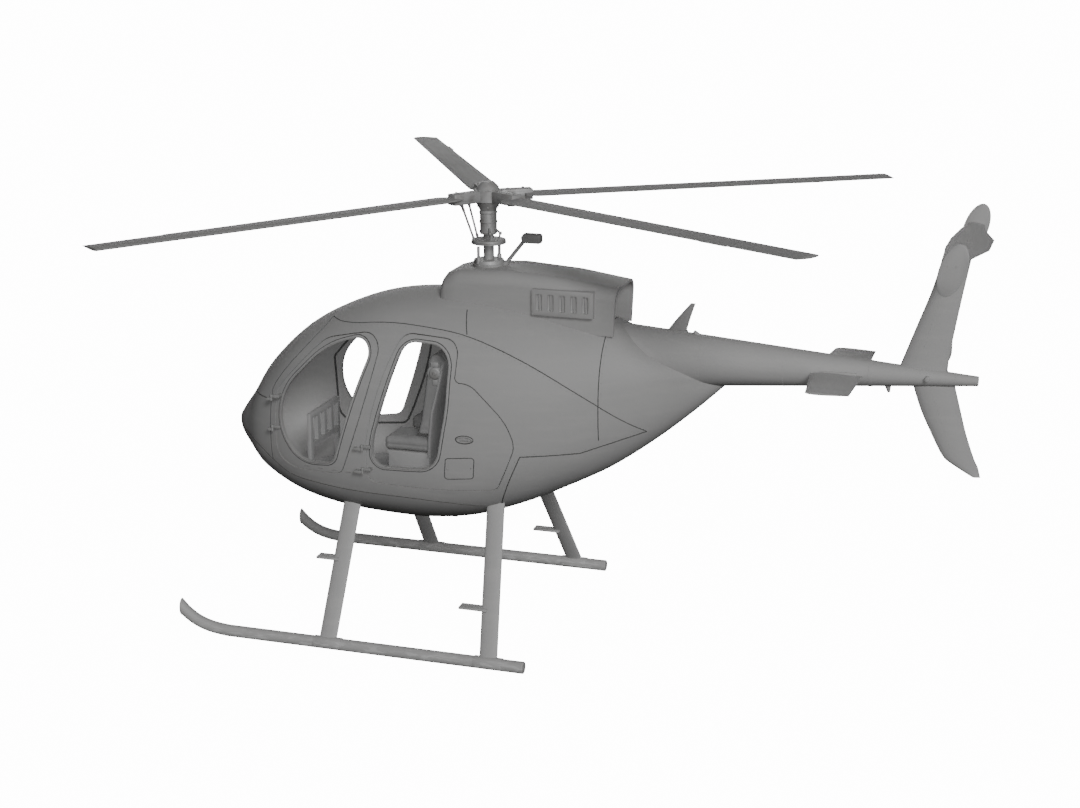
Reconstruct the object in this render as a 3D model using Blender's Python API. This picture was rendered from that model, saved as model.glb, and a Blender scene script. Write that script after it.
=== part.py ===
# A light turbine helicopter on tall tube skids: a hollow egg-shaped cabin with four doors,
# a mast fairing, a tapered boom with fins, a four-blade main rotor and a small tail rotor.
# Metres, +Z up, +X forward, +Y to port. The skids' undersides lie at Z = 0.

import bpy
import bmesh
import math
from mathutils import Matrix, Vector

# The airframe's own datum lies under the cabin. The whole object is shifted so that the
# middle of its box comes to X = 0 and Y = 0.
DATUM_SHIFT = Vector((1.325, 0.1036, 0.0))

TOUCH = 0.0003          # gap left where two pieces rest on each other
SKIN = 0.045            # wall of the cabin, the doors and the engine doors
DOOR_GAP = 0.007        # running gap all round a door
DOOR_FLARE = 0.40       # a door's edge opens out by this much per metre outwards
CUT_REACH = 0.09        # the flare starts and ends this far inside and outside the skin

# The pod, nose to tail. Columns: x, half width, top z, bottom z, z of the widest line.
POD = (
    (2.265, 0.000, 1.800, 1.800, 1.800),
    (2.170, 0.255, 1.945, 1.680, 1.800),
    (2.000, 0.455, 2.175, 1.520, 1.805),
    (1.800, 0.630, 2.480, 1.340, 1.825),
    (1.450, 0.790, 2.810, 1.170, 1.870),
    (1.050, 0.885, 3.030, 1.075, 1.900),
    (0.600, 0.935, 3.180, 1.035, 1.930),
    (0.100, 0.945, 3.235, 1.030, 1.960),
    (-0.350, 0.915, 3.235, 1.095, 2.000),
    (-0.800, 0.835, 3.190, 1.250, 2.080),
    (-1.200, 0.710, 3.110, 1.435, 2.200),
    (-1.600, 0.540, 3.030, 1.645, 2.380),
    (-2.000, 0.360, 2.860, 1.930, 2.500),
    (-2.350, 0.220, 2.740, 2.225, 2.560),
    (-2.660, 0.060, 2.620, 2.515, 2.580),
)
POD_TOP_POWER = 2.2     # section roundness above the widest line
POD_BELLY_POWER = 2.7   # a little flatter below it
POD_SIDES = 24
POD_STEPS = 2           # rings between two rows of the table

# Seams between the fixed skin panels, as side-view lines (x, z). A seam is two TOUCH wide.
ROOF_FRONT = (1.1275, 2.945)
NOSE_REAR = (1.637, 2.170)
CHINE_FRONT = (1.637, 1.580)
CHINE_REAR = (-0.640, 1.290)
ROOT_TOP = (-1.570, 3.400)
ROOT_ROOF = (-1.570, 2.350)
ROOT_ENGINE = (-1.570, 1.910)
WINDSHIELD_TOP = (0.930, 3.400)
WINDSHIELD_LINE = ((1.160, 2.870), (1.637, 2.330))
ROOF_LINE = ((0.92, 2.935), (0.45, 3.000), (0.03, 2.985), (-0.33, 2.945), (-0.72, 2.820),
             (-1.05, 2.670), (-1.42, 2.450))
CHINE_NOSE = ((1.79, 1.68), (2.00, 1.76), (2.45, 1.80))
CHINE_SIDE = ((1.44, 1.45), (1.10, 1.42), (0.78, 1.395), (-0.03, 1.38))
ENGINE_LINE = ((-0.90, 1.87), (-1.41, 1.89))
ENGINE_TAIL = (-2.80, 2.060)
PANELS = {
    "windshield_shell": (WINDSHIELD_TOP, ROOF_FRONT, *WINDSHIELD_LINE, NOSE_REAR, (2.45, 2.17), (2.45, 3.40)),
    "nose_shell": (NOSE_REAR, CHINE_FRONT, *CHINE_NOSE, (2.45, 2.17)),
    "belly_shell": (CHINE_NOSE[2], CHINE_NOSE[1], CHINE_NOSE[0], CHINE_FRONT, *CHINE_SIDE, CHINE_REAR,
                    (-0.60, 0.80), (2.45, 0.80)),
    "roof_shell": (WINDSHIELD_TOP, ROOF_FRONT, *ROOF_LINE, ROOT_ROOF, ROOT_TOP),
    "cabin_side": (ROOF_FRONT, *WINDSHIELD_LINE, NOSE_REAR, CHINE_FRONT, *CHINE_SIDE, CHINE_REAR,
                   *ENGINE_LINE, ROOT_ENGINE, ROOT_ROOF, *ROOF_LINE[::-1]),
    "boom_fairing": (ROOT_TOP, ROOT_ROOF, ROOT_ENGINE, ENGINE_TAIL, (-2.80, 3.40)),
    "engine_door": (CHINE_REAR, *ENGINE_LINE, ROOT_ENGINE, ENGINE_TAIL, (-2.80, 0.80), (-0.60, 0.80)),
}

# Doors and windows in side view. Columns: x, z, corner radius.
FRONT_DOOR = ((1.560, 1.620, 0.20), (1.560, 2.300, 0.12), (1.100, 2.800, 0.35),
              (0.420, 2.950, 0.16), (0.830, 1.570, 0.10), (1.340, 1.555, 0.10))
FRONT_WINDOW = ((1.500, 1.920, 0.45), (1.500, 2.290, 0.50), (1.060, 2.745, 0.80),
                (0.520, 2.905, 0.13), (0.920, 1.670, 0.12), (1.290, 1.635, 0.30))
REAR_DOOR = ((0.565, 1.520, 0.10), (0.565, 1.930, 0.25), (0.280, 2.930, 0.14),
             (-0.290, 2.900, 0.15), (-0.290, 2.540, 0.05), (-0.440, 2.530, 0.22),
             (-0.780, 2.200, 0.60), (-0.860, 1.960, 0.22), (-0.670, 1.520, 0.08))
REAR_WINDOW = ((0.500, 1.690, 0.12), (0.500, 1.930, 0.80), (0.240, 2.860, 0.15),
               (-0.220, 2.840, 0.20), (-0.220, 2.300, 1.50), (-0.120, 1.710, 0.20))
ARC_STEPS = 3

# Door hinges: axis x, axis y, heights of the two barrels, length of the fixed leaf's strap.
FRONT_HINGE = (1.585, 0.785, (1.895, 2.195), 0.045)
REAR_HINGE = (0.590, 0.970, (1.62, 1.84), 0.085)
BARREL_RADIUS = 0.013
BARREL_HEIGHT = 0.030
DOOR_STRAP = 0.085
STRAP_FOOT = 0.030

# Cabin fittings.
FLOOR_TOP = 1.300
FLOOR_THICK = 0.030
BULKHEAD_X = -0.620
BULKHEAD_THICK = 0.030
ENGINE_LENGTH = 0.72
ENGINE_HALF_WIDTH = 0.28
ENGINE_BOTTOM = 1.78
ENGINE_TOP = 2.48
SEAT_SIDE_Y = 0.36
SEAT_HALF_WIDTH = 0.225
PANEL_X = 1.400
PANEL_HALF_WIDTH = 0.36
PANEL_TOP = 1.960
PANEL_BOTTOM = 1.610
PANEL_THICK = 0.040
PANEL_SLOTS = 4

# Mast fairing. Columns: x, half width, top z.
FAIRING = (
    (0.075, 0.250, 3.225),
    (0.035, 0.300, 3.370),
    (-0.010, 0.320, 3.425),
    (-0.150, 0.340, 3.466),
    (-0.640, 0.355, 3.486),
    (-1.180, 0.350, 3.450),
    (-1.780, 0.335, 3.365),
)
FAIRING_WALL = 0.030
FAIRING_SHOULDER = 0.130
FAIRING_FOOT = 2.950
VENT_X = (-1.470, -0.880)
VENT_Z = (3.110, 3.360)
VENT_DEPTH = 0.035
VENT_SLOTS = 4

# Main rotor.
SHAFT_FOOT = Vector((-0.340, 0.0, 3.530))
SHAFT_LEAN = math.radians(0.5)
DISC_HEIGHT = 0.603     # blade plane above the shaft's foot
BLADE_TIP = 3.990
BLADE_ROOT = 0.340
BLADE_CHORD = 0.300
BLADE_TIP_CHORD = 0.265
BLADE_THICK = 0.040
BLADE_ANGLES = (55.5, 148.2, 211.3, 299.8)
HUB_RADIUS = 0.130
GRIP_OUTER = 0.420
GRIP_HALF_WIDTH = 0.060
GRIP_HALF_HEIGHT = 0.052

# Pitch links. Columns: blade, angle of the link ahead of its blade in radians.
PITCH_LINKS = ((0, -0.21), (3, 0.60))
LINK_HORN_Z = DISC_HEIGHT - 0.045
LINK_RADIUS = 0.270

PROBE_FOOT = Vector((-0.517, 0.0, 3.500))

# Tail boom, fins and small surfaces.
BOOM_Z = 2.710
BOOM_FRONT = -1.5703
BOOM_END = -4.900
BOOM_END_RADIUS = 0.045
BOOM_TAPER = 0.0775
BOOM_WALL = 0.030
BOOM_BORE_END = -4.300
BOOM_SIDES = 20
STABILISER_Z = 3.930
STABILISER_THICK = 0.040
STABILISER_SPAN = 0.980     # half of it, to the end plates
PLATE_CENTRE = (-4.712, 3.895)

# Fin section. Columns: chord share from the leading edge and share of the half thickness.
FIN_SECTION = ((0.0, 0.0), (0.10, 0.8), (0.35, 1.0), (1.0, 0.12), (1.0, -0.12), (0.35, -1.0), (0.10, -0.8))

# Landing gear.
SKID_Y = 1.384
SKID_RADIUS = 0.0575
SKID_REAR = -1.126
SKID_BEND = 1.830
SKID_TIP = Vector((2.3201, 0.0, 0.245))
SKID_TIP_SLOPE = math.radians(48.0)
STRUT_CHORD = 0.175
STRUT_THICK = 0.060

# Tail rotor, on the starboard side of the boom's end.
TAIL_HUB = Vector((-4.585, 0.0, 2.717))
TAIL_RADIUS = 0.52
GEARBOX_LENGTH = 0.050

root = None
materials = {}


def clear_scene():
    for obj in list(bpy.data.objects):
        bpy.data.objects.remove(obj, do_unlink=True)


def make_material(name, colour, roughness, metallic):
    mat = bpy.data.materials.new(name)
    mat.use_nodes = True
    shader = mat.node_tree.nodes["Principled BSDF"]
    shader.inputs["Base Color"].default_value = (*colour, 1.0)
    shader.inputs["Roughness"].default_value = roughness
    shader.inputs["Metallic"].default_value = metallic
    mat.diffuse_color = (*colour, 1.0)
    materials[name] = mat


def make_materials():
    make_material("airframe_paint", (0.30, 0.30, 0.30), 0.50, 0.0)
    make_material("rotor_paint", (0.22, 0.22, 0.22), 0.55, 0.0)
    make_material("gear_paint", (0.34, 0.34, 0.34), 0.50, 0.0)
    make_material("cabin_trim", (0.20, 0.20, 0.20), 0.70, 0.0)
    make_material("seat_cover", (0.24, 0.24, 0.24), 0.80, 0.0)
    make_material("metal_parts", (0.28, 0.28, 0.28), 0.40, 0.6)


def new_object(name, bm, material=None, parent=None):
    mesh = bpy.data.meshes.new(name)
    bm.to_mesh(mesh)
    bm.free()
    obj = bpy.data.objects.new(name, mesh)
    bpy.context.scene.collection.objects.link(obj)
    if material:
        mesh.materials.append(materials[material])
        mesh.shade_smooth()
        mesh.set_sharp_from_angle(angle=math.radians(32))
    if parent:
        obj.parent = parent
    return obj


def new_empty(name, location):
    empty = bpy.data.objects.new(name, None)
    empty.location = location
    bpy.context.scene.collection.objects.link(empty)
    return empty


# Applies one Boolean and removes its cutter unless it is kept for another piece.
def cut(obj, cutter, operation="DIFFERENCE", keep=False):
    cutter.parent = obj.parent
    mod = obj.modifiers.new("cut", "BOOLEAN")
    mod.operation = operation
    mod.solver = "EXACT"
    mod.object = cutter
    bpy.context.view_layer.update()
    graph = bpy.context.evaluated_depsgraph_get()
    result = bpy.data.meshes.new_from_object(obj.evaluated_get(graph))
    result.name = obj.name
    obj.modifiers.clear()
    obj.data = result
    if not keep:
        bpy.data.objects.remove(cutter, do_unlink=True)
    return obj


# Skins a row of rings, each with the same number of points, and closes both ends.
def loft(name, rings, material=None, parent=None):
    bm = bmesh.new()
    loops = [[bm.verts.new(p) for p in ring] for ring in rings]
    count = len(loops[0])
    for first, second in zip(loops, loops[1:]):
        for i in range(count):
            j = (i + 1) % count
            bm.faces.new((first[i], first[j], second[j], second[i]))
    bm.faces.new(list(reversed(loops[0])))
    bm.faces.new(loops[-1])
    bmesh.ops.remove_doubles(bm, verts=bm.verts, dist=0.00001)
    bmesh.ops.recalc_face_normals(bm, faces=bm.faces)
    return new_object(name, bm, material, parent)


def box(name, low, high, material=None, parent=None):
    bm = bmesh.new()
    bmesh.ops.create_cube(bm, size=1.0)
    low = Vector(low)
    high = Vector(high)
    size = high - low
    bmesh.ops.scale(bm, vec=size, verts=bm.verts)
    bmesh.ops.translate(bm, vec=(low + high) / 2, verts=bm.verts)
    return new_object(name, bm, material, parent)


# A straight tube or cone between two points.
def rod(name, start, end, radius, end_radius=None, sides=12, material=None, parent=None):
    start = Vector(start)
    end = Vector(end)
    axis = end - start
    bm = bmesh.new()
    bmesh.ops.create_cone(bm, cap_ends=True, segments=sides, radius1=radius,
                          radius2=radius if end_radius is None else end_radius, depth=axis.length)
    turn = axis.to_track_quat("Z", "Y").to_matrix().to_4x4()
    bmesh.ops.transform(bm, matrix=Matrix.Translation((start + end) / 2) @ turn, verts=bm.verts)
    return new_object(name, bm, material, parent)


# Corner outline (x, z, radius) to a closed list of (x, z) points with round corners.
def rounded(corners):
    points = []
    total = len(corners)
    for i, (x, z, radius) in enumerate(corners):
        here = Vector((x, z))
        back = (Vector(corners[i - 1][:2]) - here).normalized()
        ahead = (Vector(corners[(i + 1) % total][:2]) - here).normalized()
        half = back.angle(ahead) / 2
        reach = radius / math.tan(half)
        centre = here + (back + ahead).normalized() * (radius / math.sin(half))
        start = here + back * reach - centre
        sweep = start.angle_signed(here + ahead * reach - centre)
        for k in range(ARC_STEPS + 1):
            turn = Matrix.Rotation(-sweep * k / ARC_STEPS, 2)
            points.append(centre + turn @ start)
    return points


# Moves a closed outline outwards by an even distance.
def offset(points, distance):
    area = sum(a.x * b.y - b.x * a.y for a, b in zip(points, points[1:] + points[:1]))
    sign = 1.0 if area > 0 else -1.0
    moved = []
    for i, here in enumerate(points):
        back = (here - points[i - 1]).normalized()
        ahead = (points[(i + 1) % len(points)] - here).normalized()
        tangent = (back + ahead).normalized()
        normal = Vector((tangent.y, -tangent.x)) * sign
        moved.append(here + normal * distance / max(0.5, normal.dot(Vector((ahead.y, -ahead.x)) * sign)))
    return moved


# A side-view outline pushed through from one y to another.
def side_prism(name, points, low_y, high_y, material=None, parent=None):
    rings = [[(p.x, y, p.y) for p in points] for y in (low_y, high_y)]
    return loft(name, rings, material, parent)


# The pod

def pod_row(u):
    rows = [Vector(row) for row in POD]
    i = min(int(u), len(rows) - 2)
    t = u - i
    p1 = rows[i]
    p2 = rows[i + 1]
    # Before the nose the table is mirrored, so that the nose is round and not pointed.
    if i > 0:
        p0 = rows[i - 1]
    else:
        p0 = Vector(rows[1])
        p0[1] = -rows[1][1]
        p0[2], p0[3] = rows[1][3], rows[1][2]
    p3 = rows[min(i + 2, len(rows) - 1)]
    a = 2 * p1
    b = (p2 - p0) * t
    c = (2 * p0 - 5 * p1 + 4 * p2 - p3) * t * t
    d = (3 * p1 - p0 - 3 * p2 + p3) * t * t * t
    return 0.5 * (a + b + c + d)


def pod_ring(u, inset, shift=0.0):
    x, half, top, bottom, wide = pod_row(u)
    ring = []
    for k in range(POD_SIDES):
        angle = 2 * math.pi * k / POD_SIDES
        side = math.sin(angle)
        lift = math.cos(angle)
        power = POD_TOP_POWER if lift > 0 else POD_BELLY_POWER
        height = (top - wide if lift > 0 else wide - bottom) - inset
        y = max(half - inset, 0.0) * math.copysign(abs(side) ** (2 / power), side)
        z = wide + height * math.copysign(abs(lift) ** (2 / power), lift)
        ring.append((x + shift, y, z))
    return ring


def pod_solid(name, inset, first=0, last=None):
    last = len(POD) - 1 if last is None else last
    count = int((last - first) * POD_STEPS)
    # The rings before the table's second row also move aft, so that the wall keeps its thickness.
    rings = [pod_ring(first + k / POD_STEPS, inset, -inset * max(0.0, 1 - first - k / POD_STEPS))
             for k in range(count + 1)]
    if first == 0:
        tip = pod_row(0.0)
        rings[0] = [(tip[0] - inset, 0.0, tip[2])] * POD_SIDES
        if inset <= 0:
            rings.insert(1, pod_ring(0.2, inset))
    return loft(name, rings)


# Half width of the pod's skin at a side-view point.
def skin_y(x, z):
    rows = len(POD) - 1
    low, high = 0.0, float(rows)
    for _ in range(40):
        middle = (low + high) / 2
        if pod_row(middle)[0] > x:
            low = middle
        else:
            high = middle
    row = pod_row(low)
    above = z > row[4]
    height = row[2] - row[4] if above else row[4] - row[3]
    power = POD_TOP_POWER if above else POD_BELLY_POWER
    share = min(abs(z - row[4]) / height, 0.999)
    return row[1] * (1 - share ** power) ** (1 / power)


# A door cutter: its outline lies on the skin, and it opens out only where it crosses the wall.
def door_cutter(name, corners, side, grow):
    points = rounded(corners)
    on_skin = offset(points, grow)
    narrow = offset(points, grow - DOOR_FLARE * CUT_REACH)
    wide = offset(points, grow + DOOR_FLARE * CUT_REACH)
    depths = [skin_y(p.x, p.y) for p in on_skin]
    rings = [[(p.x, side * 0.15, p.y) for p in narrow],
             [(p.x, side * (d - CUT_REACH), p.y) for p, d in zip(narrow, depths)],
             [(p.x, side * (d + CUT_REACH), p.y) for p, d in zip(wide, depths)],
             [(p.x, side * 1.30, p.y) for p in wide]]
    return loft(name, rings)


def window_cutter(name, corners, side):
    return side_prism(name, rounded(corners), min(side * 0.25, side * 1.25), max(side * 0.25, side * 1.25))


# One hinge leaf: a barrel on the axis, a strap along the skin and a foot into the skin.
def hinge_leaf(name, hinge, side, low_z, reach):
    x, y = hinge[:2]
    high_z = low_z + BARREL_HEIGHT
    barrel = rod(name, (x, side * y, low_z), (x, side * y, high_z), BARREL_RADIUS, sides=12)
    end_x = x + reach
    foot_x = end_x - math.copysign(STRAP_FOOT, reach)
    strap_low = min(y - BARREL_RADIUS * 0.8, y)
    strap = box("strap", (min(x, end_x), min(side * strap_low, side * (y + 0.008)), low_z + 0.002),
                (max(x, end_x), max(side * strap_low, side * (y + 0.008)), high_z - 0.002))
    inner = skin_y((foot_x + end_x) / 2, low_z) - 0.025
    foot = box("foot", (min(foot_x, end_x), min(side * inner, side * (y - 0.002)), low_z + 0.002),
               (max(foot_x, end_x), max(side * inner, side * (y - 0.002)), high_z - 0.002))
    cut(barrel, strap, "UNION")
    return cut(barrel, foot, "UNION")


def copy_mesh(name, source, material):
    bm = bmesh.new()
    bm.from_mesh(source.data)
    return new_object(name, bm, material, root)


# The port side's copy of a starboard piece.
def mirror_copy(name, source, material):
    bm = bmesh.new()
    bm.from_mesh(source.data)
    bmesh.ops.scale(bm, vec=(1.0, -1.0, 1.0), verts=bm.verts)
    bmesh.ops.reverse_faces(bm, faces=bm.faces)
    return new_object(name, bm, material, root)


# The pod's wall is made once. Doors and fixed panels are each cut out of a copy of it.
# Both sides' holes are cut, but the side pieces are made to starboard and then mirrored.
def build_skin():
    wall = pod_solid("pod_wall", 0.0)
    cut(wall, pod_solid("pod_inner", SKIN, last=13))
    cut(wall, boom_solid("boom_hole", -1.57, 0.0006 + TOUCH, -2.9))
    doors = []
    for place, outline, window, hinge in (("front", FRONT_DOOR, FRONT_WINDOW, FRONT_HINGE),
                                          ("rear", REAR_DOOR, REAR_WINDOW, REAR_HINGE)):
        door = copy_mesh(f"door_{place}_right", wall, "airframe_paint")
        cut(door, door_cutter("edge", outline, -1, -DOOR_GAP / 2), "INTERSECT")
        cut(door, window_cutter("window", window, -1))
        doors.append((door, hinge))
    for side in (1, -1):
        for outline in (FRONT_DOOR, REAR_DOOR):
            cut(wall, door_cutter("hole", outline, side, DOOR_GAP / 2))
    for name, outline in PANELS.items():
        outline = offset([Vector(p) for p in outline], -TOUCH)
        low_y, high_y = -1.3, 1.3
        if name == "cabin_side":
            name, high_y = "cabin_side_right", -0.05
        panel = copy_mesh(name, wall, "airframe_paint")
        cut(panel, side_prism("region", outline, low_y, high_y), "INTERSECT")
    bpy.data.objects.remove(wall, do_unlink=True)
    host = bpy.data.objects["cabin_side_right"]
    for door, hinge in doors:
        for z in hinge[2]:
            cut(door, hinge_leaf("leaf", hinge, -1, z + BARREL_HEIGHT + TOUCH, -DOOR_STRAP), "UNION")
            cut(host, hinge_leaf("leaf", hinge, -1, z, hinge[3]), "UNION")
    for name in ("door_front", "door_rear", "cabin_side"):
        mirror_copy(f"{name}_left", bpy.data.objects[f"{name}_right"], "airframe_paint")


# Floor, bulkhead, engine, seats and the slotted panel frame

def build_cabin():
    fill = pod_solid("fill", SKIN + 0.0006, last=12)
    floor = box("cabin_floor", (BULKHEAD_X + TOUCH, -1.0, FLOOR_TOP - FLOOR_THICK),
                (1.90, 1.0, FLOOR_TOP), "cabin_trim", root)
    cut(floor, fill, "INTERSECT", keep=True)
    bulkhead = box("aft_bulkhead", (BULKHEAD_X - BULKHEAD_THICK, -1.0, 0.9),
                   (BULKHEAD_X, 1.0, 3.3), "cabin_trim", root)
    cut(bulkhead, fill, "INTERSECT")
    rear = BULKHEAD_X - BULKHEAD_THICK - TOUCH
    engine = box("engine_block", (rear - ENGINE_LENGTH, -ENGINE_HALF_WIDTH, ENGINE_BOTTOM),
                 (rear, ENGINE_HALF_WIDTH, ENGINE_TOP), "metal_parts", root)
    floor_z = FLOOR_TOP + TOUCH
    # Side profile of a seat: base, cushion and a back that leans aft.
    profile = [Vector(p) for p in (
        (0.50, floor_z), (0.50, 1.72), (0.56, 1.76), (0.56, 1.86), (0.50, 1.90), (0.22, 1.88),
        (0.17, 2.05), (0.08, 2.70), (0.02, 2.75), (-0.07, 2.73), (-0.10, 2.66), (-0.04, 2.40),
        (0.03, 2.15), (0.06, 1.85), (0.06, floor_z))]
    for side, hand in ((1, "left"), (-1, "right")):
        side_prism(f"seat_{hand}", profile, side * SEAT_SIDE_Y - SEAT_HALF_WIDTH,
                   side * SEAT_SIDE_Y + SEAT_HALF_WIDTH, "seat_cover", root)
    panel = box("panel_frame", (PANEL_X - PANEL_THICK / 2, -PANEL_HALF_WIDTH, floor_z),
                (PANEL_X + PANEL_THICK / 2, PANEL_HALF_WIDTH, PANEL_TOP), "cabin_trim", root)
    cut(panel, box("gap", (PANEL_X - 0.1, -PANEL_HALF_WIDTH + 0.06, floor_z - 0.1),
                   (PANEL_X + 0.1, PANEL_HALF_WIDTH - 0.06, PANEL_BOTTOM)))
    pitch = (2 * PANEL_HALF_WIDTH - 0.06) / PANEL_SLOTS
    for k in range(PANEL_SLOTS):
        start = -PANEL_HALF_WIDTH + 0.05 + k * pitch
        cut(panel, box("slot", (PANEL_X - 0.1, start, PANEL_BOTTOM + 0.05),
                       (PANEL_X + 0.1, start + pitch - 0.05, PANEL_TOP - 0.05)))


# Mast fairing

def fairing_solid(name, inset, foot, first_shift=0.0, last_x=None):
    rings = []
    for x, half, top in FAIRING:
        w = half - inset
        h = top - inset
        r = min(FAIRING_SHOULDER, h - foot - 0.02)
        ring = [(x + first_shift, w, foot)]
        for k in range(6):
            angle = math.pi / 2 * k / 5
            ring.append((x + first_shift, w - r + r * math.cos(angle), h - r + r * math.sin(angle)))
        ring += [(px, -py, pz) for px, py, pz in reversed(ring)]
        rings.append(ring)
    if last_x is not None:
        rings.append([(last_x, py, pz) for px, py, pz in rings[-1]])
    return loft(name, rings)


def build_fairing():
    outer = fairing_solid("mast_fairing", 0.0, FAIRING_FOOT)
    outer.parent = root
    outer.data.materials.append(materials["airframe_paint"])
    # The open rear face leans aft towards its top.
    rear = [Vector(p) for p in ((-1.64, 2.8), (-1.68, 3.7), (-2.2, 3.7), (-2.2, 2.8))]
    cut(outer, side_prism("rear_cut", rear, -0.6, 0.6))
    cut(outer, fairing_solid("fairing_inner", FAIRING_WALL, FAIRING_FOOT - 0.1, -FAIRING_WALL, -2.1))
    cut(outer, pod_solid("pod_cut", -TOUCH * 2))
    cut(outer, boom_solid("boom_cut", -1.4, TOUCH * 2, -2.5))
    wall_y = 0.36
    for side, hand in ((1, "left"), (-1, "right")):
        low_y, high_y = sorted((side * 0.26, side * (wall_y + VENT_DEPTH)))
        vent = box(f"side_vent_{hand}", (VENT_X[0], low_y, VENT_Z[0]), (VENT_X[1], high_y, VENT_Z[1]),
                   "airframe_paint", root)
        low_y, high_y = sorted((side * (wall_y + 0.012), side * 0.5))
        pitch = (VENT_X[1] - VENT_X[0] - 0.05) / VENT_SLOTS
        for k in range(VENT_SLOTS):
            start = VENT_X[0] + 0.05 + k * pitch
            cut(vent, box("slot", (start, low_y, VENT_Z[0] + 0.04),
                          (start + pitch - 0.05, high_y, VENT_Z[1] - 0.04)))
        cut(vent, fairing_solid("wall_cut", -TOUCH * 2, FAIRING_FOOT))
        cut(vent, pod_solid("pod_cut", -TOUCH * 2))
    collar = rod("mast_base", (SHAFT_FOOT.x, 0, 3.40), SHAFT_FOOT, 0.150, 0.140, 20, "metal_parts", root)
    cut(collar, fairing_solid("top_cut", -TOUCH * 2, FAIRING_FOOT))
    probe = rod("sensor_probe", PROBE_FOOT + Vector((0.03, 0, -0.05)), (-0.690, 0.0, 3.725), 0.020,
                sides=8, material="metal_parts", parent=root)
    cut(probe, box("head", (-0.86, -0.05, 3.700), (-0.66, 0.05, 3.795)), "UNION")
    cut(probe, fairing_solid("top_cut", -TOUCH * 2, FAIRING_FOOT))


# Main rotor, built about its shaft and then leaned forward with it

def rotor_point(radius, angle, height):
    return Vector((radius * math.cos(angle), radius * math.sin(angle), height))


def build_main_rotor():
    hub_frame = new_empty("main_rotor_axis", SHAFT_FOOT)
    hub_frame.rotation_euler = (0.0, SHAFT_LEAN, 0.0)
    hub_frame.parent = root
    foot = TOUCH + 0.050 * math.sin(SHAFT_LEAN)
    hub = rod("rotor_hub", (0, 0, foot), (0, 0, DISC_HEIGHT - 0.06), 0.050, 0.050, 16, "metal_parts",
              hub_frame)
    for low, high, wide, narrow in ((0.240, DISC_HEIGHT - 0.139, 0.080, 0.080),
                                    (DISC_HEIGHT - 0.14, DISC_HEIGHT - 0.06, 0.078, 0.120),
                                    (DISC_HEIGHT - 0.0601, DISC_HEIGHT + 0.055, HUB_RADIUS, HUB_RADIUS),
                                    (DISC_HEIGHT + 0.0549, DISC_HEIGHT + 0.130, 0.110, 0.060)):
        cut(hub, rod("ring", (0, 0, low), (0, 0, high), wide, narrow, 16), "UNION")
    disc_low = 0.150
    disc_high = disc_low + 0.040
    swash = rod("swashplate", (0, 0, disc_low), (0, 0, disc_high), 0.165, 0.150, 20, "metal_parts", hub_frame)
    cut(swash, rod("bore", (0, 0, disc_low - 0.1), (0, 0, disc_low + 0.2), 0.050 + TOUCH * 2, None, 16))
    for index, lead in PITCH_LINKS:
        angle = math.radians(BLADE_ANGLES[index]) + lead
        low = rotor_point(0.140, angle, disc_low + 0.020)
        high = rotor_point(LINK_RADIUS, angle, LINK_HORN_Z - 0.0222)
        cut(swash, rod("link", low, high, 0.011, None, 8), "UNION")
    for index, degrees in enumerate(BLADE_ANGLES):
        blade_name = f"main_blade_{index + 1}"
        angle = math.radians(degrees)
        half = BLADE_THICK / 2
        # Blade section: columns are chord share from the leading edge and height share.
        section = ((0.0, 0.0), (0.08, 0.75), (0.30, 1.0), (1.0, 0.08),
                   (1.0, -0.08), (0.30, -0.9), (0.08, -0.7))
        rings = []
        for radius, chord, share in ((BLADE_ROOT, 0.20, 1.0), (0.46, BLADE_CHORD, 1.0),
                                     (BLADE_TIP, BLADE_TIP_CHORD, 0.8)):
            ring = []
            for along, up in section:
                across = chord * (0.35 - along)
                ring.append((radius, across, DISC_HEIGHT + up * half * share))
            rings.append(ring)
        blade = loft(blade_name, rings)
        blade.parent = hub_frame
        blade.data.materials.append(materials["rotor_paint"])
        grip = box("grip", (HUB_RADIUS - 0.040, -GRIP_HALF_WIDTH, DISC_HEIGHT - GRIP_HALF_HEIGHT),
                   (GRIP_OUTER, GRIP_HALF_WIDTH, DISC_HEIGHT + GRIP_HALF_HEIGHT))
        cut(blade, grip, "UNION")
        for linked, lead in PITCH_LINKS:
            if linked == index:
                horn_end = rotor_point(LINK_RADIUS + 0.012, lead, LINK_HORN_Z)
                cut(blade, rod("horn", (0.200, 0.0, LINK_HORN_Z), horn_end, 0.018, None, 8), "UNION")
        blade.data.transform(Matrix.Rotation(angle, 4, "Z"))
        cut(blade, rod("hub_cut", (0, 0, DISC_HEIGHT - 0.2), (0, 0, DISC_HEIGHT + 0.2),
                       HUB_RADIUS + TOUCH, None, 16))


# Tail boom and what it carries

def boom_radius(x):
    return BOOM_END_RADIUS + (x - BOOM_END) * BOOM_TAPER


def boom_solid(name, front, grow, end, taper_inset=0.0):
    rings = []
    for x in (front, end):
        r = boom_radius(x) + grow - taper_inset
        rings.append([(x, r * math.sin(2 * math.pi * k / BOOM_SIDES),
                       BOOM_Z + r * math.cos(2 * math.pi * k / BOOM_SIDES)) for k in range(BOOM_SIDES)])
    return loft(name, rings)


def fin_solid(name, lead, trail, thick, tip_thick):
    rings = []
    count = len(lead)
    for i in range(count):
        share = i / (count - 1)
        half = (thick * (1 - share) + tip_thick * share) / 2
        (lx, lz), (tx, tz) = lead[i], trail[i]
        chord = lx - tx
        ring = []
        for along, out in FIN_SECTION:
            ring.append((lx - along * chord, out * half, lz + along * (tz - lz)))
        rings.append(ring)
    return loft(name, rings, "airframe_paint", root)


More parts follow.
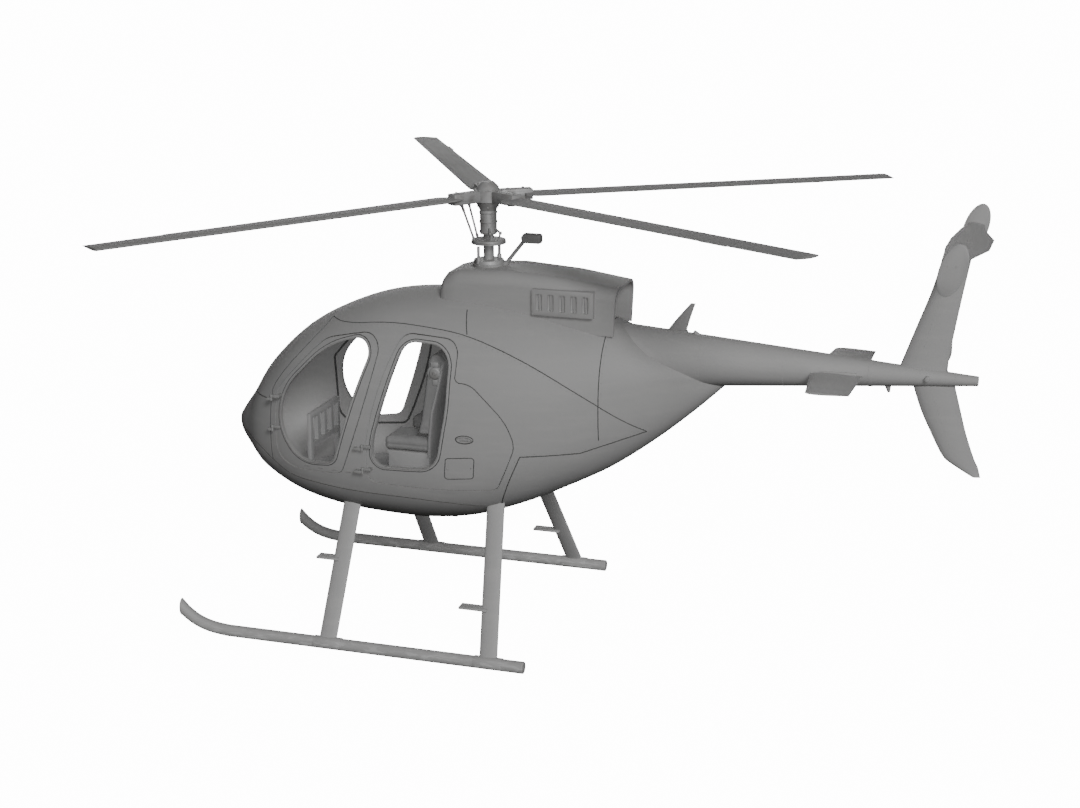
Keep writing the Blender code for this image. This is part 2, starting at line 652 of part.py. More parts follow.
def build_tail():
    boom = boom_solid("tail_boom", BOOM_FRONT, 0.0, BOOM_END)
    boom.parent = root
    boom.data.materials.append(materials["airframe_paint"])
    bore = boom_solid("bore", BOOM_FRONT + 0.1, 0.0, BOOM_BORE_END, BOOM_WALL)
    cut(boom, bore)
    cut(boom, rod("fairing", (-4.10, 0, 2.660), (-4.12, 0, 2.545), 0.045, 0.012, 10), "UNION")
    cut(boom, rod("knob", (-4.46, 0, 2.717), (-4.46, 0.115, 2.717), 0.030, 0.022, 10), "UNION")
    cut(boom, rod("bump", (-2.38, 0, 2.925), (-2.32, 0, 2.975), 0.030, 0.018, 8), "UNION")
    fin_solid("upper_fin", ((-4.17, 2.70), (-4.33, 3.16), (-4.46, 3.54), (-4.555, 3.940)),
              ((-4.60, 2.70), (-4.67, 3.16), (-4.73, 3.54), (-4.80, 3.940)), 0.080, 0.060)
    fin_solid("ventral_fin",
              ((-4.30, 2.72), (-4.40, 2.43), (-4.50, 2.22), (-4.62, 2.00), (-4.72, 1.92), (-4.90, 1.82)),
              ((-4.68, 2.72), (-4.76, 2.43), (-4.82, 2.22), (-4.90, 2.00), (-4.94, 1.92), (-4.97, 1.82)),
              0.070, 0.030)
    for name in ("upper_fin", "ventral_fin"):
        cut(bpy.data.objects[name], boom_solid("boom_cut", -4.0, TOUCH * 2, -4.95))
    low_z = STABILISER_Z - STABILISER_THICK / 2
    high_z = STABILISER_Z + STABILISER_THICK / 2
    span = STABILISER_SPAN
    outline = ((-4.645, -span), (-4.60, -0.70), (-4.56, -0.17), (-4.56, 0.17), (-4.60, 0.70), (-4.645, span),
               (-4.79, span), (-4.82, 0.68), (-4.94, 0.24), (-4.94, -0.24), (-4.82, -0.68), (-4.79, -span))
    rings = [[(x, y, z) for x, y in outline] for z in (low_z, high_z)]
    loft("stabiliser", rings, "airframe_paint", root)
    cut(bpy.data.objects["upper_fin"], box("top_cut", (-5.1, -0.2, low_z - TOUCH), (-4.3, 0.2, 4.2)))
    # The end plates are ovals that lean aft.
    up = Vector((-0.30, 0.954))
    across = Vector((0.954, 0.30))
    plate = []
    for k in range(14):
        turn = 2 * math.pi * k / 14
        plate.append(Vector(PLATE_CENTRE) + up * (0.232 * math.cos(turn)) + across * (0.112 * math.sin(turn)))
    for side, hand in ((1, "left"), (-1, "right")):
        low, high = sorted((side * (span + TOUCH), side * (span + 0.035)))
        side_prism(f"end_plate_{hand}", plate, low, high, "airframe_paint", root)
        tip = [(-3.50, 0.83), (-3.88, 0.83), (-3.90, 0.03), (-3.42, 0.03)]
        rings = [[(x, side * y, z) for x, y in tip] for z in (2.690, 2.722)]
        winglet = loft(f"winglet_{hand}", rings, "airframe_paint", root)
        cut(winglet, boom_solid("boom_cut", -3.0, TOUCH * 2, -4.2))
    blade = [Vector(p) for p in ((-2.045, 2.90), (-2.235, 2.90), (-2.335, 3.235), (-2.290, 3.240))]
    antenna = side_prism("antenna_blade", blade, -0.012, 0.012, "airframe_paint", root)
    cut(antenna, boom_solid("boom_cut", -1.8, TOUCH * 2, -2.6))


def build_tail_rotor():
    face = -boom_radius(TAIL_HUB.x)
    boom = bpy.data.objects["tail_boom"]
    case_end = face - GEARBOX_LENGTH
    case = rod("gearbox", (TAIL_HUB.x, 0, TAIL_HUB.z), (TAIL_HUB.x, case_end, TAIL_HUB.z), 0.045, 0.035, 12)
    cut(boom, case, "UNION")
    axis = new_empty("tail_rotor_axis", (TAIL_HUB.x, case_end - TOUCH, TAIL_HUB.z))
    axis.parent = root
    hub = rod("tail_rotor", (0, 0, 0), (0, -0.090, 0), 0.040, 0.030, 12, "rotor_paint", axis)
    for sign in (1, -1):
        rings = []
        for radius, chord in ((0.01, 0.05), (0.14, 0.075), (TAIL_RADIUS, 0.085)):
            rings.append([(x * chord, -0.045 + y, sign * radius) for x, y in
                          ((0.35, 0.0), (0.1, 0.010), (-0.65, 0.002), (-0.65, -0.002), (0.1, -0.010))])
        cut(hub, loft("blade", rings), "UNION")


# Landing gear

def build_gear():
    for side, hand in ((1, "left"), (-1, "right")):
        y = side * SKID_Y
        path = [Vector((SKID_REAR, y, SKID_RADIUS)), Vector((SKID_BEND, y, SKID_RADIUS))]
        for share in (0.30, 0.55, 0.78, 1.0):
            lift = 0.2 * share + 0.8 * share ** 3
            path.append(Vector((SKID_BEND + (SKID_TIP.x - SKID_BEND) * share, y,
                                SKID_RADIUS + (SKID_TIP.z - SKID_RADIUS) * lift)))
        rings = []
        for i, here in enumerate(path):
            back = here - path[max(i - 1, 0)]
            ahead = path[min(i + 1, len(path) - 1)] - here
            tangent = (back.normalized() + ahead.normalized()).normalized()
            up = Vector((-tangent.z, 0, tangent.x))
            radius = SKID_RADIUS / math.cos(math.pi / 12)
            # The raised front end is cut off upright.
            if i == len(path) - 1:
                up = Vector((0, 0, 1 / math.cos(SKID_TIP_SLOPE)))
            rings.append([here + Vector((0, 1, 0)) * radius * math.sin(math.pi * (k + 0.5) / 6)
                          + up * radius * math.cos(math.pi * (k + 0.5) / 6) for k in range(12)])
        loft(f"skid_{hand}", rings, "gear_paint", root)
        for place, foot_x, top_x, top_z, step_share, reach in (("front", 0.807, 0.835, 1.36, 0.52, 0.25),
                                                               ("rear", -0.783, -0.590, 1.40, 0.30, 0.30)):
            foot = Vector((foot_x, y, 0.095))
            top = Vector((top_x, side * 0.560, top_z))
            rings = []
            for centre in (foot, top):
                ring = []
                for k in range(12):
                    angle = 2 * math.pi * k / 12
                    ring.append(centre + Vector((STRUT_CHORD / 2 * math.cos(angle),
                                                 STRUT_THICK / 2 * math.sin(angle), 0)))
                rings.append(ring)
            strut = loft(f"strut_{place}_{hand}", rings, "gear_paint", root)
            at = foot.lerp(top, step_share)
            step = box("step", (at.x + 0.02, at.y - 0.06, at.z - 0.014),
                       (at.x + reach, at.y + 0.06, at.z + 0.014))
            cut(strut, step, "UNION")
            cut(strut, pod_solid("pod_cut", -TOUCH * 2))
            rings_cut = rod("skid_cut", (SKID_REAR - 0.2, y, SKID_RADIUS), (SKID_BEND, y, SKID_RADIUS),
                            (SKID_RADIUS + TOUCH) / math.cos(math.pi / 12), None, 12)
            rings_cut.data.transform(Matrix.Translation((0, y, SKID_RADIUS))
                                     @ Matrix.Rotation(math.pi / 12, 4, "X")
                                     @ Matrix.Translation((0, -y, -SKID_RADIUS)))
            cut(strut, rings_cut)
    pad = box("belly_fitting", (-0.05, -0.16, 0.990), (0.36, 0.16, 1.085), "metal_parts", root)
    cut(pad, pod_solid("pod_cut", -TOUCH * 2))


def main():
    global root
    clear_scene()
    make_materials()
    root = new_empty("airframe_datum", DATUM_SHIFT)
    build_skin()
    build_cabin()
    build_fairing()
    build_main_rotor()
    build_tail()
    build_tail_rotor()
    build_gear()


main()
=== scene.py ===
# %% [markdown]
# # A light helicopter on tall skids
# This lesson dresses a plain helicopter model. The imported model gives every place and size,
# so each new piece is built about the same datum and lands where its plain solid lies.
# %% Load the frame
import math

import bmesh
import bpy
from mathutils import Matrix, Vector


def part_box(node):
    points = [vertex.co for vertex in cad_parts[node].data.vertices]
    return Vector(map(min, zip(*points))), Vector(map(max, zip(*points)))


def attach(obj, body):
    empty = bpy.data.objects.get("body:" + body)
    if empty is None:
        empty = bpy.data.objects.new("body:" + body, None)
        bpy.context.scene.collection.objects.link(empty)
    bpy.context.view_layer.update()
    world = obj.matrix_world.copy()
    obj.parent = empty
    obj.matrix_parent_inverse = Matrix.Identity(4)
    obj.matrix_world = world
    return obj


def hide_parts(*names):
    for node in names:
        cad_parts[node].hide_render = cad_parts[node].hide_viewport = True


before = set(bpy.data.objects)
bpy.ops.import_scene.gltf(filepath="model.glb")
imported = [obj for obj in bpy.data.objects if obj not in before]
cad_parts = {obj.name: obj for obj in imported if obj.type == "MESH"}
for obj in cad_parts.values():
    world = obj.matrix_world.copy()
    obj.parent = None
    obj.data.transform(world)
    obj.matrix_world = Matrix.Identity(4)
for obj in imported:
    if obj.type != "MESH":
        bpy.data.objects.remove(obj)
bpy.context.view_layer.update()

# %% [markdown]
# The airframe is drawn from a datum below the cabin, with X forward, Y to port and Z up.
# Two plain solids tell where that datum is: the bulkhead's rear face lies 0.65 m behind it,
# and the tail boom is centred on it.
# %% Find the datum
BULKHEAD_REAR = -0.650
boom_low, boom_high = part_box("tail_boom")
DATUM = Vector((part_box("aft_bulkhead")[0].x - BULKHEAD_REAR, (boom_low.y + boom_high.y) / 2, 0.0))
print("datum", tuple(round(v, 4) for v in DATUM))

# %% [markdown]
# The camera comes first, because it decides what matters. It looks down a little at the port
# side, through a long lens. Its place was worked out from the skids, the fins and the rotor tips.
# Three small helpers put things into the scene and turn angles into a direction.
# %% Camera
IMAGE_WIDTH_PX = 1080
FOCAL_PX = 1942
SENSOR_MM = 36.0
FAR_AWAY = 1000.0
EYE = Vector((-6.19, 16.93, 7.19)) + DATUM
HEADING = -72.47
PITCH = -15.83


def placed(name, data):
    thing = bpy.data.objects.new(name, data)
    bpy.context.scene.collection.objects.link(thing)
    return thing


def meshed(name, bm, finishes=()):
    """A bmesh as an object in the scene. The bmesh goes."""
    mesh = bpy.data.meshes.new(name)
    bm.to_mesh(mesh)
    bm.free()
    for finish in finishes:
        mesh.materials.append(finish)
    return placed(name, mesh)


def direction(azimuth, elevation):
    """A unit vector. Azimuth 0 points along X and 90 along Y."""
    a = math.radians(azimuth)
    e = math.radians(elevation)
    return Vector((math.cos(a) * math.cos(e), math.sin(a) * math.cos(e), math.sin(e)))


lens = bpy.data.cameras.new("camera")
lens.sensor_width = SENSOR_MM
lens.lens = SENSOR_MM * FOCAL_PX / IMAGE_WIDTH_PX
lens.clip_end = FAR_AWAY
camera = placed("camera", lens)
camera.location = EYE
camera.rotation_euler = direction(HEADING, PITCH).to_track_quat("-Z", "Y").to_euler()
bpy.context.scene.camera = camera
print("lens", round(lens.lens, 1), "mm")

# %% [markdown]
# Shader maths reads best as Python. The small class below wraps a socket, so that
# `0.3 + 0.1 * grain` adds the Math nodes by itself. `Finish.add` makes any other node.
# %% Shader helpers


class Socket:
    """An output socket that can be added, taken away and multiplied."""

    def __init__(self, finish, out):
        self.finish = finish
        self.out = out

    def _maths(self, operation, first, second):
        return self.finish.add("ShaderNodeMath", {"operation": operation}, {0: first, 1: second})

    def __add__(self, other):
        return self._maths("ADD", self, other)

    def __sub__(self, other):
        return self._maths("SUBTRACT", self, other)

    def __rsub__(self, other):
        return self._maths("SUBTRACT", other, self)

    def __mul__(self, other):
        return self._maths("MULTIPLY", self, other)

    __radd__ = __add__
    __rmul__ = __mul__

    def smooth_step(self, low, high):
        """0 below low, 1 above high and smooth between them."""
        return self.finish.add("ShaderNodeMapRange", {"interpolation_type": "SMOOTHSTEP"},
                               {"Value": self, "From Min": low, "From Max": high})


class Finish:
    """One material, with its Principled shader and Object coordinates ready."""

    def __init__(self, name, roughness, metallic=0.0):
        self.material = bpy.data.materials.new(name)
        self.material.use_nodes = True
        self.nodes = self.material.node_tree.nodes
        self.links = self.material.node_tree.links
        self.shader = self.nodes["Principled BSDF"]
        self.shader.inputs["Roughness"].default_value = roughness
        self.shader.inputs["Metallic"].default_value = metallic
        self.shader.inputs["Specular IOR Level"].default_value = 0.3
        self.place = self.add("ShaderNodeTexCoord", out="Object")

    def add(self, kind, settings=None, sockets=None, out=0):
        node = self.nodes.new(kind)
        for key, value in (settings or {}).items():
            if key == "stops":
                for stop, (at, colour) in zip(node.color_ramp.elements, value):
                    stop.position = at
                    stop.color = (*colour, 1.0)
            else:
                setattr(node, key, value)
        for key, value in (sockets or {}).items():
            self.feed(node.inputs[key], value)
        return Socket(self, node.outputs[out])

    def feed(self, target, value):
        if isinstance(value, Socket):
            self.links.new(value.out, target)
        else:
            target.default_value = value

    def noise(self, scale, detail=3.0, stretch=None):
        where = self.place
        if stretch:
            where = self.add("ShaderNodeMapping", None, {"Vector": self.place, "Scale": stretch})
        return self.add("ShaderNodeTexNoise", None, {"Vector": where, "Scale": scale, "Detail": detail})

    def blend(self, share, first, second):
        """A colour between two others by a share that changes over the surface."""
        return self.add("ShaderNodeMix", {"data_type": "RGBA"}, {0: share, 6: first, 7: second}, out=2)

    def height(self):
        return self.add("ShaderNodeSeparateXYZ", None, {0: self.place}, out=2)

    def coat(self, base, roughness=None, bump=None):
        """Feeds the shader and gives the material. Bump is (height, distance, strength)."""
        self.feed(self.shader.inputs["Base Color"], base)
        if roughness:
            self.feed(self.shader.inputs["Roughness"], roughness)
        if bump:
            sockets = dict(zip(("Height", "Distance", "Strength"), bump))
            self.feed(self.shader.inputs["Normal"], self.add("ShaderNodeBump", None, sockets))
        return self.material


def grey(level, warm=0.0):
    return (level * (1 + warm), level, level * (1 - warm), 1.0)


# %% [markdown]
# The whole machine has one satin grey finish. Real paint is never one flat colour: it has a
# slow drift in tone, a fine orange peel and dust in streaks. The skids are scuffed where they
# touch the ground, and the skin is painted darker towards the belly as painted shade.
# %% Paints
SCUFF_TOP = 0.16
BELLY_SHADE_FADE = (1.08, 1.42)


def paint(name, level, roughness, dust=0.5, peel=0.0004, scuffed=False, belly_shaded=False):
    finish = Finish(name, roughness)
    drift = finish.noise(0.9, 2.0)
    mottle = finish.noise(14.0, 4.0)
    streak = finish.noise(5.0, 3.0, (0.35, 1.0, 3.0)).smooth_step(0.46, 0.74)
    share = 0.35 * drift + 0.30 * mottle + dust * streak * 0.5
    base = finish.blend(share, grey(level * 0.93), grey(level * 1.09, 0.012))
    if scuffed:
        near_ground = 1 - finish.height().smooth_step(0.00, SCUFF_TOP)
        worn = finish.noise(38.0, 5.0, (0.25, 1.0, 1.0)).smooth_step(0.48, 0.62) * near_ground
        base = finish.blend(worn, base, grey(level * 1.45))
    if belly_shaded:
        # Painted shade: the skin's colour darkens towards the bottom of the pod, standing in for shade on
        # the underside.
        painted_belly_shade = (1 - finish.height().smooth_step(*BELLY_SHADE_FADE)) * 0.9
        base = finish.blend(painted_belly_shade, base, grey(level * 0.36, 0.03))
    return finish.coat(base, roughness - 0.05 + 0.12 * mottle + 0.06 * streak,
                       (finish.noise(210.0, 2.0), peel, 0.35))


def seam_finish():
    finish = Finish("seam_shadow_sealant", 0.8)
    return finish.coat(finish.blend(finish.noise(60.0), grey(0.035), grey(0.060)))


def dull_metal():
    finish = Finish("dull_cast_metal", 0.52, 0.30)
    grain = finish.noise(120.0, 4.0)
    soil = finish.noise(9.0, 4.0).smooth_step(0.42, 0.70)
    base = finish.blend(soil, grey(0.27), grey(0.19, 0.02))
    return finish.coat(base, 0.46 + 0.14 * grain + 0.10 * soil, (grain, 0.0006, 0.4))


def cabin_trim():
    finish = Finish("moulded_cabin_trim", 0.7)
    pebble = finish.add("ShaderNodeTexVoronoi", None, {"Vector": finish.place, "Scale": 420.0})
    base = finish.blend(finish.noise(6.0, 3.0), grey(0.195), grey(0.240))
    return finish.coat(base, 0.66 + 0.12 * pebble, (pebble, 0.0007, 0.5))


def seat_cloth():
    finish = Finish("woven_seat_cloth", 0.85)
    across, along = [finish.add("ShaderNodeTexWave", {"bands_direction": axis},
                                {"Vector": finish.place, "Scale": 95.0, "Distortion": 0.6}) for axis in "YZ"]
    weave = across * along
    base = finish.blend(0.55 * weave + 0.4 * finish.noise(18.0, 4.0), grey(0.13), grey(0.225))
    return finish.coat(base, 0.78 + 0.14 * weave, (weave, 0.0012, 0.6))


SKIN_PAINT = paint("matte_grey_paint", 0.235, 0.62, belly_shaded=True)
# Painted light: the tail's copy of the skin grey is lighter, standing in for the stronger light on the boom
# and fins.
LIT_TAIL_PAINT = paint("tail_grey_paint_painted_lighter", 0.275, 0.62)
GEAR_PAINT = paint("gear_grey_paint", 0.27, 0.60, 0.8, 0.0005, True)
# Painted shade: the blades' copy of the grey is darker, standing in for the shade on their faces.
SHADED_BLADE_PAINT = paint("matte_blade_paint_painted_darker", 0.19, 0.66, 0.7)
FITTING_PAINT = paint("fitting_grey_paint", 0.19, 0.60, 0.6)
SEAM = seam_finish()
METAL = dull_metal()
TRIM = cabin_trim()
CLOTH = seat_cloth()
print("finishes", [m.name for m in (SKIN_PAINT, LIT_TAIL_PAINT, GEAR_PAINT, METAL, TRIM, CLOTH)])

# %% [markdown]
# The stage is a pale floor far wider than the view, one broad soft lamp on the port side, two fills
# without shadows, one for each side, and a weak even sky. The floor looks white but throws hardly
# any light up, so the belly stays dark.
# %% Floor and light
WHITE = (1.0, 1.0, 1.0, 1.0)
FLOOR_RADIUS = 160.0
FLOOR_GLOW = 14.0
SKY_LIGHT = 0.09
SKY_SEEN = 16.0


def stage_floor():
    finish = Finish("pale_floor", 0.9)
    seen = finish.add("ShaderNodeLightPath", out="Is Camera Ray")
    finish.shader.inputs["Emission Color"].default_value = WHITE
    finish.feed(finish.shader.inputs["Emission Strength"], seen * FLOOR_GLOW)
    bm = bmesh.new()
    bmesh.ops.create_circle(bm, cap_ends=True, segments=96, radius=FLOOR_RADIUS)
    floor = meshed("floor", bm, [finish.coat(finish.blend(seen, grey(0.04), grey(0.90)))])


def sun(name, azimuth, elevation, strength, softness, shadow=True):
    """A broad lamp. Azimuth and elevation say where the light comes from."""
    data = bpy.data.lights.new(name, "SUN")
    data.use_shadow = shadow
    data.cycles.cast_shadow = shadow
    data.energy = strength
    data.angle = math.radians(softness)
    placed(name, data).rotation_euler = direction(azimuth, elevation).to_track_quat("Z", "Y").to_euler()


def sky(light, seen):
    """An even sky that lights the scene weakly and looks white to the camera."""
    world = bpy.data.worlds.new("studio")
    world.use_nodes = True
    nodes = world.node_tree.nodes
    links = world.node_tree.links
    back = nodes["Background"]
    path = nodes.new("ShaderNodeLightPath")
    strength = nodes.new("ShaderNodeMapRange")
    strength.inputs["To Min"].default_value = light
    strength.inputs["To Max"].default_value = seen
    links.new(path.outputs["Is Camera Ray"], strength.inputs["Value"])
    links.new(strength.outputs[0], back.inputs["Strength"])
    back.inputs["Color"].default_value = WHITE
    bpy.context.scene.world = world


stage_floor()
sun("key", 124.0, 31.0, 1.9, 14.0)
sun("rim", -65.0, 4.0, 1.1, 40.0, False)
sun("fill", 122.0, 20.0, 1.75, 40.0, False)
sky(SKY_LIGHT, SKY_SEEN)
print("lamps", len(bpy.data.lights))

# %% [markdown]
# A few tools shape nearly every piece. `sweep` extrudes a circle from one section to the next,
# `turn` spins a profile, `rod` and `block` add small hardware, and `carve` is a Boolean that is
# applied at once. `keep` turns the mesh into a finished piece that rides on its body.
# %% Modelling helpers
SIDES = ((1, "left"), (-1, "right"))
SEA = {"left": "port", "right": "starboard"}
SAME_SPOT = 0.00001


def outward(bm):
    bmesh.ops.recalc_face_normals(bm, faces=bm.faces)
    return bm


def keep(name, bm, finishes, stands_for=(), body="airframe", angle=35.0):
    bmesh.ops.remove_doubles(bm, verts=bm.verts, dist=2 * SAME_SPOT)
    bmesh.ops.translate(outward(bm), vec=DATUM, verts=bm.verts)
    piece = meshed(name, bm, finishes if isinstance(finishes, tuple) else (finishes,))
    piece.data.shade_smooth()
    piece.data.set_sharp_from_angle(angle=math.radians(angle))
    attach(piece, body)
    if stands_for:
        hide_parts(*stands_for)
    print(f"{name}: {len(piece.data.polygons)} faces")
    return piece


def ellipse(count, first, second):
    """Pairs of first * cosine and second * sine, all the way round."""
    angles = [2 * math.pi * k / count for k in range(count)]
    return [(first * math.cos(a), second * math.sin(a)) for a in angles]


def sweep(sections):
    """Extrudes a circle through sections that all have the same number of points."""
    bm = bmesh.new()
    ring = bmesh.ops.create_circle(bm, segments=len(sections[0]), radius=1.0)["verts"]
    for vert, point in zip(ring, sections[0]):
        vert.co = point
    edges = list({edge for vert in ring for edge in vert.link_edges})
    first = edges
    for section in sections[1:]:
        grown = bmesh.ops.extrude_edge_only(bm, edges=edges)["geom"]
        fresh = {g for g in grown if isinstance(g, bmesh.types.BMVert)}
        ahead = {}
        for vert in fresh:
            for edge in vert.link_edges:
                other = edge.other_vert(vert)
                if other not in fresh:
                    ahead[other] = vert
        edges = [g for g in grown if isinstance(g, bmesh.types.BMEdge) and set(g.verts) <= fresh]
        ring = [ahead[vert] for vert in ring]
        for vert, point in zip(ring, section):
            vert.co = point
    for end in (first, edges):
        bmesh.ops.edgeloop_fill(bm, edges=end)
    return outward(bm)


def extruded(outline, *depths):
    """An outline in side view as a solid that runs through the given values of Y."""
    return sweep([[(x, y, z) for x, z in outline] for y in depths])


def bevelled(bm, edges, width, segments):
    bmesh.ops.bevel(bm, geom=edges, offset=width, offset_type="OFFSET", segments=segments, profile=0.5,
                    affect="EDGES", material=-1, clamp_overlap=True)


def soften(bm, verts, width, segments=2):
    bevelled(bm, list({e for v in verts for e in v.link_edges if len(e.link_faces) == 2
                       and e.calc_face_angle(0.0) > math.radians(30)}), width, segments)


def rod(bm, start, end, radius, tip=None, sides=24, soft=0.0):
    start = Vector(start)
    end = Vector(end)
    axis = end - start
    place = Matrix.Translation((start + end) / 2) @ axis.to_track_quat("Z", "Y").to_matrix().to_4x4()
    made = bmesh.ops.create_cone(bm, cap_ends=True, segments=sides, radius1=radius,
                                 radius2=radius if tip is None else tip, depth=axis.length, matrix=place)
    if soft:
        soften(bm, made["verts"], soft)
    return bm


def block(bm, low, high, soft=0.0, place=None):
    low = Vector(low)
    high = Vector(high)
    size = Matrix.Diagonal((*(high - low), 1.0))
    fit = (place or Matrix.Identity(4)) @ Matrix.Translation((low + high) / 2) @ size
    made = bmesh.ops.create_cube(bm, size=1.0, matrix=fit)
    if soft:
        soften(bm, made["verts"], soft)
    return bm


def shifted(bm, place):
    bmesh.ops.transform(bm, matrix=place, verts=bm.verts)
    return bm


def turn(profile, place=None, steps=56):
    """Spins a profile of (radius, height) points about Z, then moves it to its place."""
    bm = bmesh.new()
    verts = [bm.verts.new((r, 0.0, z)) for r, z in profile]
    edges = [bm.edges.new(pair) for pair in zip(verts, verts[1:])]
    bmesh.ops.spin(bm, geom=verts + edges, cent=(0, 0, 0), axis=(0, 0, 1), angle=2 * math.pi,
                   steps=steps, use_merge=True)
    return shifted(bm, place) if place else bm


def bolt(bm, at, normal, size=0.008, tall=0.006):
    """A bolt's head with six sides on a round washer."""
    at = Vector(at)
    normal = Vector(normal).normalized()
    rod(bm, at - normal * 0.002, at + normal * tall * 0.35, size * 1.35, sides=14)
    return rod(bm, at, at + normal * tall, size, size * 0.92, sides=6)


def joined(*parts):
    """Several bmeshes as one."""
    whole = parts[0]
    for part in parts[1:]:
        mesh = bpy.data.meshes.new("part")
        part.to_mesh(mesh)
        part.free()
        whole.from_mesh(mesh)
        bpy.data.meshes.remove(mesh)
    return whole


def evaluated(thing):
    """The mesh of an object with its modifiers applied."""
    bpy.context.view_layer.update()
    return bpy.data.meshes.new_from_object(thing.evaluated_get(bpy.context.evaluated_depsgraph_get()))


def bead(bm, points, radius, closed=False, resolution=2):
    """A round bead along points, taken from a bevelled curve."""
    data = bpy.data.curves.new("bead", "CURVE")
    data.dimensions = "3D"
    data.bevel_depth = radius
    data.bevel_resolution = resolution
    data.use_fill_caps = not closed
    spline = data.splines.new("POLY")
    spline.points.add(len(points) - 1)
    for spot, point in zip(spline.points, points):
        spot.co = (*point, 1.0)
    spline.use_cyclic_u = closed
    holder = placed("bead", data)
    mesh = evaluated(holder)
    bm.from_mesh(mesh)
    bpy.data.objects.remove(holder)
    bpy.data.meshes.remove(mesh)
    return bm


def workpiece(bm, *finishes):
    """A bmesh as a plain object, for a Boolean."""
    bmesh.ops.remove_doubles(bm, verts=bm.verts, dist=SAME_SPOT)
    return meshed("work", bm, finishes)


def applied(work):
    mesh = evaluated(work)
    work.modifiers.clear()
    work.data = mesh
    return work


def carve(target, cutter, operation="DIFFERENCE"):
    change = target.modifiers.new("carve", "BOOLEAN")
    change.operation = operation
    change.solver = "EXACT"
    change.material_mode = "TRANSFER"
    change.object = cutter
    applied(target)
    bpy.data.objects.remove(cutter)
    return target


def taken_up(work):
    """The mesh of a workpiece as a bmesh again. The workpiece goes."""
    bm = bmesh.new()
    bm.from_mesh(work.data)
    bpy.data.objects.remove(work)
    return bm


# %% [markdown]
# The cabin pod is an egg that ends in a point under the boom. A table gives its sections from
# the nose aft, and each section is a superellipse, rounder above the widest line than below.
# A curve through the table's rows gives as many sections as a smooth skin needs.
# %% The pod's form
POD = (
    (2.265, 0.000, 1.800, 1.800, 1.800),
    (2.170, 0.255, 1.945, 1.680, 1.800),
    (2.000, 0.455, 2.175, 1.520, 1.805),
    (1.800, 0.630, 2.480, 1.340, 1.825),
    (1.450, 0.790, 2.810, 1.170, 1.870),
    (1.050, 0.885, 3.030, 1.075, 1.900),
    (0.600, 0.935, 3.180, 1.035, 1.930),
    (0.100, 0.945, 3.235, 1.030, 1.960),
    (-0.350, 0.915, 3.235, 1.095, 2.000),
    (-0.800, 0.835, 3.190, 1.250, 2.080),
    (-1.200, 0.710, 3.110, 1.435, 2.200),
    (-1.600, 0.540, 3.030, 1.645, 2.380),
    (-2.000, 0.360, 2.860, 1.930, 2.500),
    (-2.350, 0.220, 2.740, 2.225, 2.560),
    (-2.660, 0.060, 2.620, 2.515, 2.580),
)
TOP_POWER = 2.2
BELLY_POWER = 2.7
WALL = 0.045
POD_SIDES = 72
POD_STEPS = 5
BISECTIONS = 36
TABLE_END = len(POD) - 1


def curve(back, here, ahead, far, t):
    """A point between here and ahead, on a smooth curve through all four."""
    slope = (ahead - back) * t
    bend = (2 * back - 5 * here + 4 * ahead - far) * t * t
    twist = (3 * here - back - 3 * ahead + far) * t ** 3
    return 0.5 * (2 * here + slope + bend + twist)


def pod_row(u):
    """The table's row at u, on a smooth curve through all rows."""
    i = min(int(u), TABLE_END - 1)
    if i > 0:
        back = POD[i - 1]
    else:
        x, half, top, bottom, wide = POD[1]
        back = (x, -half, bottom, top, wide)
    rows = [Vector(row) for row in (back, POD[i], POD[i + 1], POD[min(i + 2, TABLE_END)])]
    return curve(*rows, u - i)


def section_point(row, angle, inset=0.0):
    """A point of the section's outline. Angle 0 is the top and a quarter turn is port."""
    x, half, top, bottom, wide = row
    across = math.sin(angle)
    up = math.cos(angle)
    power = TOP_POWER if up > 0 else BELLY_POWER
    height = max((top - wide if up > 0 else wide - bottom) - inset, 0.0)
    y = max(half - inset, 0.0) * math.copysign(abs(across) ** (2 / power), across)
    return Vector((x, y, wide + height * math.copysign(abs(up) ** (2 / power), up)))


def pod_section(u, inset):
    row = pod_row(u)
    return [section_point(row, 2 * math.pi * k / POD_SIDES, inset) for k in range(POD_SIDES)]


def pod_body(inset, last=TABLE_END):
    """One closed egg, drawn in by inset."""
    stations = [0.0, 0.03, 0.09, 0.2, 0.35, 0.5, 0.75]
    stations += [1 + k / POD_STEPS for k in range((last - 1) * POD_STEPS + 1)]
    sections = [pod_section(u, inset) for u in stations if u == 0.0 or pod_row(u)[1] > inset + 0.02]
    nose_x, _, _, _, nose_z = pod_row(0.0)
    sections[0] = [(nose_x - inset, 0.0, nose_z)] * POD_SIDES
    return sweep(sections)


def row_at(x):
    """The pod's row at x, found by halving."""
    low = 0.0
    high = float(TABLE_END)
    for _ in range(BISECTIONS):
        middle = (low + high) / 2
        if pod_row(middle)[0] > x:
            low = middle
        else:
            high = middle
    return pod_row(low)


def skin_y(x, z, inset=0.0):
    """Half the pod's width at a point of its side view, drawn in by inset."""
    _, half, top, bottom, wide = row_at(x)
    height = (top - wide if z > wide else wide - bottom) - inset
    power = TOP_POWER if z > wide else BELLY_POWER
    share = min(abs(z - wide) / height, 1.0)
    return (half - inset) * max(1 - share ** power, 0.0) ** (1 / power)


def skin_normal(x, z, side):
    step = 0.004
    along = Vector((2 * step, side * (skin_y(x + step, z) - skin_y(x - step, z)), 0.0))
    up = Vector((0.0, side * (skin_y(x, z + step) - skin_y(x, z - step)), 2 * step))
    normal = along.cross(up).normalized()
    return normal if normal.y * side > 0 else -normal


print("pod", POD[0][0] - POD[-1][0], "m long")

